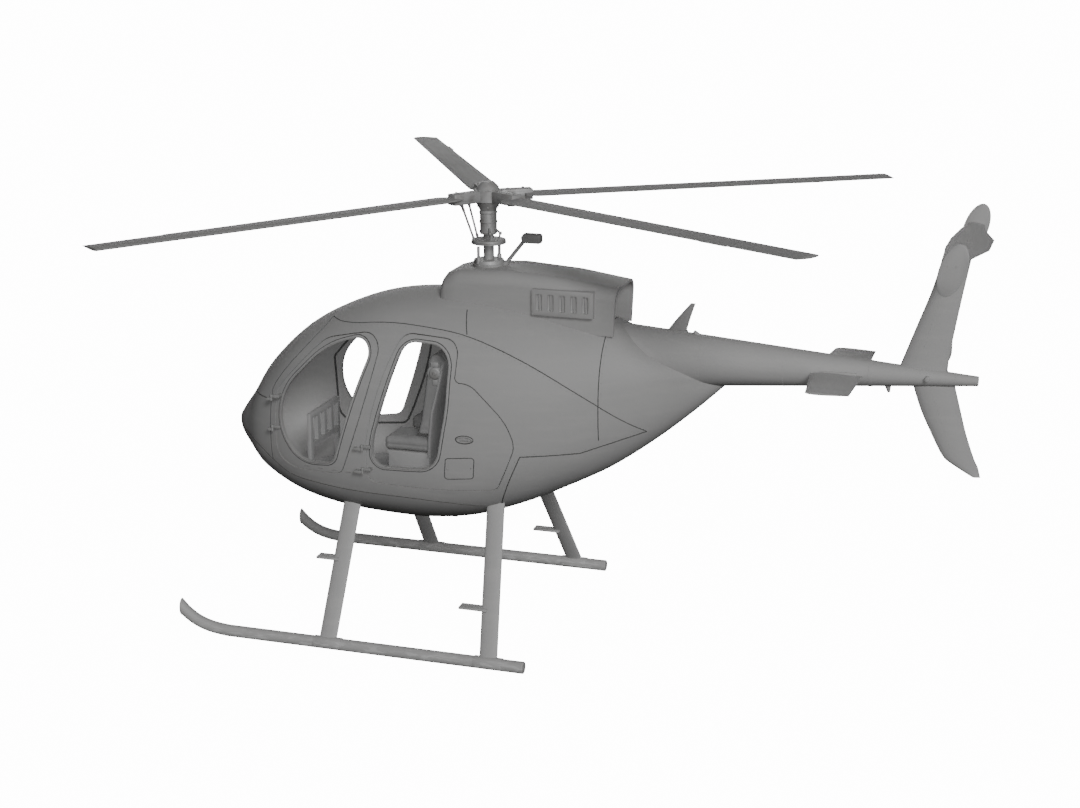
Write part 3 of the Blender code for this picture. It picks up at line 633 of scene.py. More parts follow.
# %% [markdown]
# Doors and windows are drawn in side view as corners with a radius. The same two helpers round
# the corners and move an outline in or out by an even distance.
# %% Outlines in side view
FRONT_DOOR = ((1.560, 1.620, 0.20), (1.560, 2.300, 0.12), (1.100, 2.800, 0.35),
              (0.420, 2.950, 0.16), (0.830, 1.570, 0.10), (1.340, 1.555, 0.10))
FRONT_WINDOW = ((1.500, 1.920, 0.45), (1.500, 2.290, 0.50), (1.060, 2.745, 0.80),
                (0.520, 2.905, 0.13), (0.920, 1.670, 0.12), (1.290, 1.635, 0.30))
REAR_DOOR = ((0.565, 1.520, 0.10), (0.565, 1.930, 0.25), (0.280, 2.930, 0.14),
             (-0.290, 2.900, 0.15), (-0.290, 2.540, 0.05), (-0.440, 2.530, 0.22),
             (-0.780, 2.200, 0.60), (-0.860, 1.960, 0.22), (-0.670, 1.520, 0.08))
REAR_WINDOW = ((0.500, 1.690, 0.12), (0.500, 1.930, 0.80), (0.240, 2.860, 0.15),
               (-0.220, 2.840, 0.20), (-0.220, 2.300, 1.50), (-0.120, 1.710, 0.20))
DOOR_GAP = 0.007
DOOR_FLARE = 0.40
CUT_REACH = 0.09
ARC_STEPS = 8
CUTTER_INNER = 0.15
CUTTER_OUTER = 1.30


def rounded(corners):
    points = []
    total = len(corners)
    for i, (x, z, radius) in enumerate(corners):
        here = Vector((x, z))
        back = (Vector(corners[i - 1][:2]) - here).normalized()
        ahead = (Vector(corners[(i + 1) % total][:2]) - here).normalized()
        half = back.angle(ahead) / 2
        reach = radius / math.tan(half)
        centre = here + (back + ahead).normalized() * (radius / math.sin(half))
        start = here + back * reach - centre
        sweep_angle = start.angle_signed(here + ahead * reach - centre)
        for k in range(ARC_STEPS + 1):
            points.append(centre + Matrix.Rotation(-sweep_angle * k / ARC_STEPS, 2) @ start)
    return points


def moved_out(points, distance):
    area = sum(a.x * b.y - b.x * a.y for a, b in zip(points, points[1:] + points[:1]))
    sign = 1.0 if area > 0 else -1.0
    moved = []
    for i, here in enumerate(points):
        back = (here - points[i - 1]).normalized()
        ahead = (points[(i + 1) % len(points)] - here).normalized()
        tangent = (back + ahead).normalized()
        normal = Vector((tangent.y, -tangent.x)) * sign
        moved.append(here + normal * distance / max(0.5, normal.dot(Vector((ahead.y, -ahead.x)) * sign)))
    return moved


def stepped(points, step, closed=False):
    """The same line with a point at least every step."""
    ends = points[1:] + (points[:1] if closed else [])
    line = []
    for a, b in zip(points, ends):
        count = max(1, math.ceil((b - a).length / step))
        line += [a.lerp(b, k / count) for k in range(count)]
    return line if closed else line + [points[-1]]


def on_skin(points, side, lift=0.0):
    """Side-view points laid on the pod's skin of one side."""
    laid = []
    for p in points:
        spot = Vector((p.x, side * skin_y(p.x, p.y), p.y))
        laid.append(spot + skin_normal(p.x, p.y, side) * lift if lift else spot)
    return laid


def door_loops(corners, grow=0.0):
    """The outline's points, and the loops inside and outside it that a cutter's flare joins."""
    points = rounded(corners)
    flare = DOOR_FLARE * CUT_REACH
    return points, moved_out(points, grow - flare), moved_out(points, grow + flare)


def door_cutter(corners, side, grow):
    """It follows the outline and opens out only where it crosses the wall."""
    points, narrow, wide = door_loops(corners, grow)
    depths = [skin_y(p.x, p.y) for p in moved_out(points, grow)]
    sections = [[(p.x, side * CUTTER_INNER, p.y) for p in narrow],
                [(p.x, side * (d - CUT_REACH), p.y) for p, d in zip(narrow, depths)],
                [(p.x, side * (d + CUT_REACH), p.y) for p, d in zip(wide, depths)],
                [(p.x, side * CUTTER_OUTER, p.y) for p in wide]]
    return workpiece(sweep(sections))


def window_cutter(corners, side):
    return workpiece(extruded(rounded(corners), side * 0.25, side * 1.25))


print("outlines", len(rounded(FRONT_DOOR)), len(rounded(REAR_DOOR)))

# %% [markdown]
# The wall is the outer egg with a second, smaller egg inside it, turned inside out. The boom's
# hole and the four doors are cut from it, and each door is what the same cutter keeps.
# Grooves for the panel seams are cut with a thin round bead that runs along the skin.
# %% Pod wall
BOOM_Z = 2.710
BOOM_END = -4.900
BOOM_FRONT = -1.5703
BOOM_END_RADIUS = 0.045
BOOM_TAPER = 0.0775
SEAM_RADIUS = 0.0048
BOOM_SIDES = 64


def boom_radius(x):
    return BOOM_END_RADIUS + (x - BOOM_END) * BOOM_TAPER


def boom_ring(x, radius):
    return [(x, y, BOOM_Z + z) for z, y in ellipse(BOOM_SIDES, radius, radius)]


def boom_cone(front, rear, grow=0.0):
    return sweep([boom_ring(x, boom_radius(x) + grow) for x in (front, rear)])


def pod_wall():
    inner = pod_body(WALL, TABLE_END - 1)
    bmesh.ops.reverse_faces(inner, faces=inner.faces)
    shell = workpiece(joined(pod_body(0.0), inner), SKIN_PAINT, SEAM)
    return carve(shell, workpiece(boom_cone(-1.57, -2.9, 0.002), SKIN_PAINT))


def groove(target, points, closed=False):
    """Cuts a round channel along points and leaves it dark."""
    line = bead(bmesh.new(), points, SEAM_RADIUS, closed, 1)
    return carve(target, workpiece(outward(line), SEAM))


wall = pod_wall()
print("wall", len(wall.data.polygons), "faces")

# %% [markdown]
# Each door keeps its window's opening. A second groove runs round the window, where the frame
# of the pane is clamped, and a raised lip stands at the opening's edge.
# %% Doors
SEAM_STEP = 0.03
FRAME_OFFSET = 0.028
LIP_OFFSET = 0.006
LIP_RADIUS = 0.0055
HANDLE = Vector((-0.400, 2.020))
ACCESS_PANEL = ((-0.220, 1.830, 0.030), (-0.200, 1.620, 0.030),
                (-0.470, 1.640, 0.030), (-0.490, 1.850, 0.030))
OUTLINES = {"front": (FRONT_DOOR, FRONT_WINDOW), "rear": (REAR_DOOR, REAR_WINDOW)}


def oval(centre, half_long, half_tall):
    return [Vector((centre.x + x, centre.y + z)) for x, z in ellipse(28, half_long, half_tall)]


def twin(work):
    return placed("work", work.data.copy())


def door_body(place, hand):
    return f"{place}_door_{SEA[hand]}"


for side, hand in SIDES:
    for place, (outline, window) in OUTLINES.items():
        door = twin(wall)
        carve(door, door_cutter(outline, side, -DOOR_GAP / 2), "INTERSECT")
        carve(door, window_cutter(window, side))
        rings = [stepped(moved_out(rounded(window), FRAME_OFFSET), SEAM_STEP, True)]
        if place == "rear":
            rings += [stepped(rounded(ACCESS_PANEL), SEAM_STEP, True), oval(HANDLE, 0.082, 0.038)]
        for ring in rings:
            groove(door, on_skin(ring, side), True)
        body = door_body(place, hand)
        keep(f"door_{place}_{hand}_skin", taken_up(door), (SKIN_PAINT, SEAM),
             [f"door_{place}_{hand}"], body)
        lip = stepped(moved_out(rounded(window), LIP_OFFSET), SEAM_STEP, True)
        keep(f"window_lip_{place}_{hand}", bead(bmesh.new(), on_skin(lip, side), LIP_RADIUS, True),
             FITTING_PAINT, body=body)

# %% [markdown]
# A rubber seal closes each door's gap from behind. It stays on the frame: the doors open outwards,
# away from it. Its line lies where the cutter's tapered side meets the wall's inner face, which
# a few rounds of correction find.
# %% Door seals
SEAL_RADIUS = 0.010
SEAL_SINK = 0.008
SEAL_ROUNDS = 6


def door_seal(bm, corners, side):
    points, narrow, wide = door_loops(corners)
    rails = [(n, w, skin_y(p.x, p.y)) for n, w, p in zip(narrow, wide, points)]
    line = []
    for (n, w, depth), (next_n, next_w, next_depth) in zip(rails, rails[1:] + rails[:1]):
        count = max(1, math.ceil((next_w - w).length / SEAM_STEP))
        for k in range(count):
            share = k / count
            low = n.lerp(next_n, share)
            high = w.lerp(next_w, share)
            middle = depth + (next_depth - depth) * share
            spot = low.lerp(high, 0.5)
            for _ in range(SEAL_ROUNDS):
                across = (skin_y(spot.x, spot.y, WALL) - middle) / (2 * CUT_REACH) + 0.5
                spot = low.lerp(high, min(max(across, 0.0), 1.0))
            inner = Vector((spot.x, side * skin_y(spot.x, spot.y, WALL), spot.y))
            line.append(inner - skin_normal(spot.x, spot.y, side) * SEAL_SINK)
    return bead(bm, line, SEAL_RADIUS, True)


for side, hand in SIDES:
    seals = bmesh.new()
    for outline in (FRONT_DOOR, REAR_DOOR):
        door_seal(seals, outline, side)
    keep(f"door_seals_{hand}", seals, SEAM)

# %% [markdown]
# Now the fixed skin. The seams follow the real joints between the windshield, nose, belly, roof,
# sides and engine cowls. A seam that crosses the top is drawn by its angle round the section,
# because there the skin runs nearly level.
# %% Seams of the fixed skin
ROOF_FRONT = (1.1275, 2.945)
NOSE_REAR = (1.637, 2.170)
CHINE_FRONT = (1.637, 1.580)
CHINE_REAR = (-0.640, 1.290)
WINDSHIELD_LINE = ((1.160, 2.870), (1.637, 2.330))
ROOF_LINE = ((0.92, 2.935), (0.45, 3.000), (0.03, 2.985), (-0.33, 2.945), (-0.72, 2.820),
             (-1.05, 2.670), (-1.42, 2.450), (-1.75, 2.210), (-1.97, 2.075))
CHINE_NOSE = ((1.79, 1.68), (2.00, 1.76), (2.25, 1.79))
CHINE_SIDE = ((1.44, 1.45), (1.10, 1.42), (0.78, 1.395), (-0.03, 1.38))
ENGINE_LINE = ((-0.90, 1.87), (-1.41, 1.89), (-1.97, 2.075))
ROOT_X = -1.570


def smooth_line(points, rounds=2):
    """Cuts a line's corners, so that a seam bends instead of kinking."""
    line = [Vector(p) for p in points]
    for _ in range(rounds):
        cut = [line[0]]
        for a, b in zip(line, line[1:]):
            cut += [a.lerp(b, 0.25), a.lerp(b, 0.75)]
        line = cut + [line[-1]]
    return line


def ring_at(x, angles):
    """Points of the section's outline at x. Angle 0 is the top, 90 is port."""
    row = (x, *row_at(x)[1:])
    return [section_point(row, math.radians(angle)) for angle in angles]


SIDE_SEAMS = (
    smooth_line((ROOF_FRONT, *WINDSHIELD_LINE, NOSE_REAR)),
    smooth_line((NOSE_REAR, CHINE_FRONT), 0),
    smooth_line((*reversed(CHINE_NOSE), CHINE_FRONT, *CHINE_SIDE, CHINE_REAR)),
    smooth_line((ROOF_FRONT, *ROOF_LINE)),
    smooth_line((CHINE_REAR, *ENGINE_LINE), 0),
    smooth_line((NOSE_REAR, (1.80, 2.17), (2.07, 2.17)), 0),
    smooth_line(((-0.27, 3.130), (-0.34, 2.945)), 0),
)
for side in (1, -1):
    for seam in SIDE_SEAMS:
        groove(wall, on_skin(stepped(seam, SEAM_STEP), side))
groove(wall, ring_at(ROOT_X, [-112 + 224 * k / 60 for k in range(61)]))
print("skin with seams", len(wall.data.polygons), "faces")

# %% [markdown]
# The doors' openings are cut last. Their cutter is larger by the door gap than the one that kept
# the doors.
# %% Fixed skin
for side, _ in SIDES:
    for outline in (FRONT_DOOR, REAR_DOOR):
        carve(wall, door_cutter(outline, side, DOOR_GAP / 2))
keep("cabin_skin", taken_up(wall), (SKIN_PAINT, SEAM),
     ["windshield_shell", "nose_shell", "belly_shell", "roof_shell", "cabin_side_left", "cabin_side_right",
      "boom_fairing", "engine_door"])

# %% [markdown]
# The mast fairing is a long hood with round shoulders and an open rear.
# %% Mast fairing
FAIRING = (
    (0.075, 0.250, 3.225),
    (0.035, 0.300, 3.370),
    (-0.010, 0.320, 3.425),
    (-0.150, 0.340, 3.466),
    (-0.640, 0.355, 3.486),
    (-1.180, 0.350, 3.450),
    (-1.780, 0.335, 3.365),
)
FAIRING_WALL = 0.030
SHOULDER = 0.130
FAIRING_FOOT = 2.950
REACH_BELOW = 0.1


def hood(inset, foot, shift=0.0, last_x=None):
    """The hood as a solid. An inset and a shift give the duct inside it."""
    sections = []
    for x, half, top in FAIRING:
        w = half - inset
        h = top - inset
        r = min(SHOULDER, h - foot - 0.02)
        right = [(x + shift, w, foot)]
        for k in range(13):
            angle = math.pi / 2 * k / 12
            right.append((x + shift, w - r + r * math.cos(angle), h - r + r * math.sin(angle)))
        sections.append(right + [(px, -py, pz) for px, py, pz in reversed(right)])
    if last_x is not None:
        sections.append([(last_x, py, pz) for px, py, pz in sections[-1]])
    return workpiece(sweep(sections), SKIN_PAINT)


fairing = hood(0.0, FAIRING_FOOT)
rear_end = extruded(((-1.64, 2.8), (-1.68, 3.7), (-2.2, 3.7), (-2.2, 2.8)), -0.6, 0.6)
carve(fairing, workpiece(rear_end, SKIN_PAINT))
carve(fairing, hood(FAIRING_WALL, FAIRING_FOOT - REACH_BELOW, -FAIRING_WALL, -2.1))
carve(fairing, workpiece(pod_body(0.004), SKIN_PAINT))
carve(fairing, workpiece(boom_cone(-1.4, -2.5), SKIN_PAINT))
keep("mast_fairing_hood", taken_up(fairing), SKIN_PAINT, ["mast_fairing"])

# %% [markdown]
# Wings, fins and blades all share one section: a thin round-nosed shape that narrows to the
# trailing edge. It is worked out once from the usual thickness formula. `foil_body` then sweeps
# it through rows that give where the leading and the trailing edge lie.
# %% Thin surfaces
MAST_FOOT = Vector((-0.340, 0.0, 3.530))
MAST_LEAN = math.radians(0.5)
ROTOR_PLACE = Matrix.Translation(MAST_FOOT) @ Matrix.Rotation(MAST_LEAN, 4, "Y")


def foil_section(count):
    """(share of the chord from the leading edge, share of the half thickness), all the way round."""
    upper = []
    for k in range(count + 1):
        t = (1 - math.cos(math.pi * k / count)) / 2
        full = 2.969 * math.sqrt(t) - 1.26 * t - 3.516 * t ** 2 + 2.843 * t ** 3 - 1.015 * t ** 4
        upper.append((t, max(full, 0.10) if k else 0.0))
    lower = [(t, -share) for t, share in reversed(upper[1:])]
    return upper + lower


FOIL = foil_section(10)


def through(rows, steps=4):
    """More rows, on a smooth curve through the given ones."""
    rows = [Vector(row) for row in rows]
    line = []
    for i in range(len(rows) - 1):
        before = rows[max(i - 1, 0)]
        after = rows[min(i + 2, len(rows) - 1)]
        line += [curve(before, rows[i], rows[i + 1], after, k / steps) for k in range(steps)]
    return line + [rows[-1]]


def foil_body(rows, place):
    """Rows are (station, leading edge, trailing edge, half thickness). place makes points of them."""
    sections = []
    for station, lead, trail, half in (*rows, rows[-1]):
        sections.append([place(station, lead + (trail - lead) * t, half * up) for t, up in FOIL])
    # The tip's last section is drawn in, so that its edge is round and not a sharp cut.
    middle = sum((Vector(p) for p in sections[-1]), Vector()) / len(sections[-1])
    sections[-1] = [middle.lerp(Vector(p), 0.9) for p in sections[-1]]
    return sweep(sections)


print("foil points", len(FOIL))

# %% [markdown]
# The rotor head is a spun casting: a plain shaft, a wider sleeve that holds the controls' bearing,
# and a drum that carries the four grips. Two pitch links run up from the swashplate to the horns.
# %% Rotor head
DISC_HEIGHT = 0.603
HUB_RADIUS = 0.130
SHAFT_RADIUS = 0.050
SLEEVE_RADIUS = 0.080
SWASH_LOW = 0.150
SWASH_HIGH = 0.190
LINK_HORN_Z = DISC_HEIGHT - 0.045
LINK_RADIUS = 0.270
BLADE_ANGLES = (55.5, 148.2, 211.3, 299.8)
PITCH_LINKS = ((0, -0.21), (3, 0.60))


def rotor_point(radius, angle, height):
    return Vector((radius * math.cos(angle), radius * math.sin(angle), height))


SHAFT = ((0.0, 0.0008), (SHAFT_RADIUS, 0.0008), (SHAFT_RADIUS, 0.236), (SLEEVE_RADIUS - 0.004, 0.240),
         (SLEEVE_RADIUS, 0.245), (SLEEVE_RADIUS, 0.455), (SLEEVE_RADIUS - 0.002, 0.463), (0.118, 0.541),
         (HUB_RADIUS - 0.005, 0.544), (HUB_RADIUS, 0.549), (HUB_RADIUS, 0.652), (HUB_RADIUS - 0.005, 0.658),
         (0.112, 0.658), (0.106, 0.664), (0.098, 0.690), (0.066, 0.722), (0.058, 0.731), (0.0, 0.731))
SWASHPLATE = ((0.052, SWASH_LOW), (0.160, SWASH_LOW), (0.165, 0.155), (0.165, 0.166), (0.157, 0.168),
              (0.157, 0.173), (0.162, 0.175), (0.160, 0.186), (0.152, SWASH_HIGH), (0.070, SWASH_HIGH),
              (0.064, 0.196), (0.052, 0.196), (0.052, SWASH_LOW))
KNEE = Vector((0.0, 0.0, 0.013))

hub = turn(SHAFT)
for height in (0.262, 0.356, 0.444):
    rod(hub, (0, 0, height - 0.008), (0, 0, height + 0.008), SLEEVE_RADIUS + 0.006, sides=48, soft=0.002)
for k in range(8):
    bolt(hub, rotor_point(0.1205, math.pi * (k + 0.5) / 4, 0.6575), (0, 0, 1), 0.0055, 0.007)
for k in range(4):
    angle = math.pi * (k + 0.2) / 2
    bolt(hub, rotor_point(0.098, angle, 0.500), rotor_point(1, angle, 0), 0.006)
# The drive scissors between the sleeve and the swashplate.
for share in (0.35, 0.58):
    angle = math.pi * share + 0.9
    knee = rotor_point(0.150, angle, 0.262)
    rod(hub, rotor_point(0.078, angle, 0.300), knee, 0.011, sides=14)
    rod(hub, knee, rotor_point(0.125, angle, 0.1905), 0.010, sides=14)
    rod(hub, knee - KNEE, knee + KNEE, 0.016, sides=18, soft=0.003)
keep("rotor_head", shifted(hub, ROTOR_PLACE), METAL, ["rotor_hub"], "main_rotor")

swash = turn(SWASHPLATE)
for index, lead in PITCH_LINKS:
    angle = math.radians(BLADE_ANGLES[index]) + lead
    low = rotor_point(0.140, angle, SWASH_LOW + 0.020)
    high = rotor_point(LINK_RADIUS, angle, LINK_HORN_Z - 0.0222)
    along = (high - low).normalized()
    rod(swash, low, high, 0.011, sides=18)
    for share in (0.10, 0.86):
        middle = low.lerp(high, share)
        rod(swash, middle - along * 0.014, middle + along * 0.014, 0.015, sides=6)
    rod(swash, high - along * 0.034, high - along * 0.004, 0.014, 0.017, sides=18, soft=0.002)
for k in range(10):
    bolt(swash, rotor_point(0.108, 2 * math.pi * k / 10 + 0.2, SWASH_HIGH), (0, 0, 1), 0.0055, 0.005)
keep("swashplate_and_links", shifted(swash, ROTOR_PLACE), METAL, ["swashplate"], "main_rotor")

# %% [markdown]
# Each blade is a swept foil in a squared grip with two retention bolts. A thin doubler thickens its
# root, and a small tab of sheet metal at the trailing edge trims it. The blades aren't evenly
# spaced in the photograph, so each keeps its own angle.
# %% Main blades
BLADE_TIP = 3.990
BLADE_ROOT = 0.340
FULL_CHORD_AT = 0.46
BLADE_CHORD = 0.300
TIP_CHORD = 0.265
LEAD_SHARE = 0.35
HALF_THICK = 0.020
FOIL_ANGLE = 28.0
GRIP_HALF_WIDTH = 0.060
GRIP_HALF_HEIGHT = 0.052
GRIP_OUTER = 0.420


def blade_place(radius, across, up):
    return Vector((radius, across, DISC_HEIGHT + up))


def chord_at(radius):
    share = (radius - FULL_CHORD_AT) / (BLADE_TIP - FULL_CHORD_AT)
    return BLADE_CHORD + (TIP_CHORD - BLADE_CHORD) * share


def blade_foil(stations):
    """Stations are (radius, chord, half thickness). The leading edge keeps its share of the chord."""
    return foil_body([(radius, chord * LEAD_SHARE, -chord * (1 - LEAD_SHARE), half)
                      for radius, chord, half in stations], blade_place)


def main_blade():
    blade = blade_foil((
        (BLADE_ROOT, 0.200, HALF_THICK), (0.375, 0.235, HALF_THICK), (0.415, 0.282, HALF_THICK),
        (FULL_CHORD_AT, BLADE_CHORD, HALF_THICK), (2.200, chord_at(2.2), HALF_THICK * 0.9),
        (BLADE_TIP - 0.010, chord_at(BLADE_TIP - 0.010), HALF_THICK * 0.8),
        (BLADE_TIP, TIP_CHORD * 0.975, HALF_THICK * 0.62)))
    doubler = blade_foil(((0.440, 0.200, HALF_THICK + 0.0020), (0.640, 0.180, HALF_THICK + 0.0018),
                          (0.700, 0.130, HALF_THICK + 0.0008)))
    blade = joined(blade, doubler)
    rear = -(1 - LEAD_SHARE) * chord_at(3.10)
    block(blade, (2.95, rear - 0.016, DISC_HEIGHT - 0.0012),
          (3.25, rear + 0.006, DISC_HEIGHT + 0.0012), 0.0008)
    for radius in (3.800, 3.860, 3.920):
        bolt(blade, (radius, 0.045, DISC_HEIGHT + HALF_THICK * 0.78), (0, 0, 1), 0.006, 0.003)
    return blade


def blade_grip(index):
    grip = bmesh.new()
    for low, high, half_width, half_height, soft in (
            (HUB_RADIUS - 0.006, GRIP_OUTER, GRIP_HALF_WIDTH, GRIP_HALF_HEIGHT, 0.010),
            (0.205, 0.375, GRIP_HALF_WIDTH + 0.003, 0.020, 0.004)):
        block(grip, (low, -half_width, DISC_HEIGHT - half_height),
              (high, half_width, DISC_HEIGHT + half_height), soft)
    for radius, across in ((0.340, 0.030), (0.340, -0.030), (0.190, 0.0)):
        for up in (1, -1):
            bolt(grip, (radius, across, DISC_HEIGHT + up * GRIP_HALF_HEIGHT), (0, 0, up), 0.0115, 0.010)
    lead = dict(PITCH_LINKS).get(index)
    if lead is not None:
        horn_end = rotor_point(LINK_RADIUS + 0.012, lead, LINK_HORN_Z)
        rod(grip, (0.200, 0.0, LINK_HORN_Z), horn_end, 0.018, sides=20, soft=0.003)
    return grip


for index, degrees in enumerate(BLADE_ANGLES):
    spin_place = ROTOR_PLACE @ Matrix.Rotation(math.radians(degrees), 4, "Z")
    keep(f"blade_{index + 1}", shifted(main_blade(), spin_place), SHADED_BLADE_PAINT,
         [f"main_blade_{index + 1}"], "main_rotor", 25.0)
    keep(f"blade_grip_{index + 1}", shifted(blade_grip(index), spin_place), METAL,
         body="main_rotor")

# %% [markdown]
# Around the mast's foot stands a bolted collar with two short control rods, and behind it a probe
# on a bent arm. All of it sits on the hood.
# %% Mast collar and probe
COLLAR = ((0.0, 3.430), (0.156, 3.430), (0.156, 3.490), (0.152, 3.494), (0.146, 3.496), (0.142, 3.526),
          (0.139, 3.5294), (0.0, 3.5294))
collar = turn(COLLAR, Matrix.Translation((MAST_FOOT.x, 0, 0)))
for x, y in ellipse(10, 0.151, 0.151):
    bolt(collar, (MAST_FOOT.x + x, y, 3.493), (0, 0, 1), 0.0045, 0.006)
for x, y in ((-0.275, 0.112), (-0.405, -0.112)):
    rod(collar, (x, y, 3.500), (x, y, 3.560), 0.026, 0.022, sides=24, soft=0.003)
    rod(collar, (x, y, 3.555), (x, y, 3.664), 0.015, sides=20, soft=0.002)
keep("mast_collar", collar, METAL, ["mast_base"])

probe = bmesh.new()
rod(probe, (-0.487, 0, 3.468), (-0.690, 0, 3.725), 0.019, sides=20)
rod(probe, (-0.478, 0, 3.462), (-0.520, 0, 3.512), 0.034, 0.024, sides=24, soft=0.003)
block(probe, (-0.860, -0.050, 3.703), (-0.675, 0.050, 3.795), 0.022)
rod(probe, (-0.680, 0, 3.742), (-0.664, 0, 3.738), 0.030, 0.024, sides=24, soft=0.003)
for x in (-0.720, -0.815):
    bolt(probe, (x, 0.050, 3.75), (0, 1, 0), 0.005, 0.004)
keep("sensor_probe_arm", probe, FITTING_PAINT, ["sensor_probe"])

# %% [markdown]
# A side vent is a shallow box on the hood's wall with five upright slots. The slots are milled by
# Booleans, because their round ends must stay clean, and a thin upright louvre blade stands inside each.
# %% Side vents
VENT_X = (-1.470, -0.880)
VENT_Z = (3.110, 3.360)
VENT_FACE = 0.395
VENT_FLOOR = 0.372
SLOT_COUNT = 5
SLOT_EDGE = 0.02
SLOT_SHARE = 0.56

for side, hand in SIDES:
    flip = Matrix.Diagonal((1, side, 1, 1))
    box = block(bmesh.new(), (VENT_X[0], 0.28, VENT_Z[0]), (VENT_X[1], VENT_FACE, VENT_Z[1]), 0.012, flip)
    vent = workpiece(outward(box), SKIN_PAINT, SEAM)
    pitch = (VENT_X[1] - VENT_X[0] - 2 * SLOT_EDGE) / SLOT_COUNT
    starts = [VENT_X[0] + SLOT_EDGE + (k + (1 - SLOT_SHARE) / 2) * pitch for k in range(SLOT_COUNT)]
    for start in starts:
        slot = block(bmesh.new(), (start, VENT_FLOOR, VENT_Z[0] + 0.045),
                     (start + SLOT_SHARE * pitch, 0.50, VENT_Z[1] - 0.045), 0.014, flip)
        carve(vent, workpiece(outward(slot), SKIN_PAINT))
    carve(vent, hood(-0.0008, FAIRING_FOOT))
    vent = taken_up(vent)
    for start in starts:
        middle = start + SLOT_SHARE / 2 * pitch
        block(vent, (middle - 0.004, VENT_FLOOR - 0.004, VENT_Z[0] + 0.047),
              (middle + 0.004, VENT_FACE - 0.006, VENT_Z[1] - 0.047), 0.001, flip)
    for x in (VENT_X[0] + 0.016, VENT_X[1] - 0.016):
        for z in (VENT_Z[0] + 0.018, VENT_Z[1] - 0.018):
            bolt(vent, (x, side * (VENT_FACE - 0.0005), z), (0, side, 0), 0.0045, 0.004)
    keep(f"vent_{hand}", vent, (SKIN_PAINT, SEAM), [f"side_vent_{hand}"])

# %% [markdown]
# The boom is one long cone. Raised bands of rivets ring it where its frames lie, and it carries a
# small drag fairing below, a lamp stub at the side and the tail gearbox.
# %% Tail boom
TAIL_HUB = Vector((-4.585, 0.0, 2.717))
GEARBOX_LENGTH = 0.050
BOOM_BANDS = 12
RIVET_BANDS = (-1.640, -2.420, -3.180, -3.940, -4.700)


def dome(bm, at, normal, size=0.0045, tall=0.0022):
    """A rivet's head, a short cone of eight sides."""
    normal = Vector(normal).normalized()
    return rod(bm, Vector(at) - normal * 0.001, Vector(at) + normal * tall, size, size * 0.55, sides=8)


front = BOOM_FRONT - 0.002
stations = [front + (BOOM_END + 0.006 - BOOM_FRONT) * k / BOOM_BANDS for k in range(BOOM_BANDS + 1)]
rings = [boom_ring(x, boom_radius(x)) for x in stations]
boom = sweep(rings + [boom_ring(BOOM_END, BOOM_END_RADIUS - 0.005)])
for x in RIVET_BANDS:
    radius = boom_radius(x)
    for up, across in ellipse(int(40 * radius / 0.25) + 10, radius, radius):
        dome(boom, (x, across, BOOM_Z + up), (0, across, up))
for x in (-1.620, -3.960):
    front = x + 0.014
    rear = x - 0.014
    rod(boom, (front, 0, BOOM_Z), (rear, 0, BOOM_Z), boom_radius(front) + 0.0022,
        boom_radius(rear) + 0.0022, sides=BOOM_SIDES)
rod(boom, (-4.100, 0, 2.660), (-4.120, 0, 2.545), 0.045, 0.012, sides=28, soft=0.003)
rod(boom, (-4.460, 0, 2.717), (-4.460, 0.115, 2.717), 0.030, 0.022, sides=28, soft=0.006)
rod(boom, (-2.380, 0, 2.925), (-2.320, 0, 2.975), 0.030, 0.018, sides=24, soft=0.004)
keep("boom_skin", boom, LIT_TAIL_PAINT, ["tail_boom"])

gear_case = bmesh.new()
hub_x, _, hub_z = TAIL_HUB
case_end = -boom_radius(hub_x) - GEARBOX_LENGTH
rod(gear_case, (hub_x, 0, hub_z), (hub_x, case_end, hub_z), 0.045, 0.035, sides=36, soft=0.003)
rod(gear_case, (hub_x, case_end + 0.030, hub_z), (hub_x, case_end + 0.014, hub_z), 0.048,
    sides=36, soft=0.003)
for x, z in ellipse(6, 0.043, 0.043):
    bolt(gear_case, (hub_x + x, case_end + 0.0145, hub_z + z), (0, -1, 0), 0.0035, 0.005)
keep("tail_gearbox_case", gear_case, METAL)

# %% [markdown]
# The tail rotor has two blades in one plane on a short hub. It is hidden in the photograph, so its
# size and its side come from what such machines have.
# %% Tail rotor
TAIL_RADIUS = 0.520
TAIL_DISC = 0.045
TAIL_SPOOL = ((0.0, 0.0005), (0.039, 0.0005), (0.040, 0.004), (0.038, 0.030), (0.030, 0.034),
              (0.030, 0.058), (0.034, 0.062), (0.030, 0.088), (0.026, 0.0895), (0.0, 0.0895))
TAIL_BLADE = ((0.020, 0.020, -0.026, 0.014), (0.110, 0.024, -0.030, 0.013), (0.150, 0.026, -0.046, 0.010),
              (0.190, 0.030, -0.055, 0.009), (TAIL_RADIUS - 0.006, 0.030, -0.055, 0.006),
              (TAIL_RADIUS, 0.028, -0.052, 0.004))
tail = turn(TAIL_SPOOL, steps=36)
for sign in (1, -1):
    blade = foil_body(TAIL_BLADE, lambda r, across, up, s=sign: Vector((across, s * r, TAIL_DISC + up)))
    tail = joined(tail, blade)
    for up in (1, -1):
        bolt(tail, (0.0, sign * 0.075, TAIL_DISC + up * 0.013), (0, 0, up), 0.006, 0.006)
face = Matrix.Translation((hub_x, case_end - 0.0003, hub_z)) @ Matrix.Rotation(math.pi / 2, 4, "X")
keep("tail_rotor_blades", shifted(tail, face), SHADED_BLADE_PAINT, ["tail_rotor"], "tail_rotor_body",
     FOIL_ANGLE)

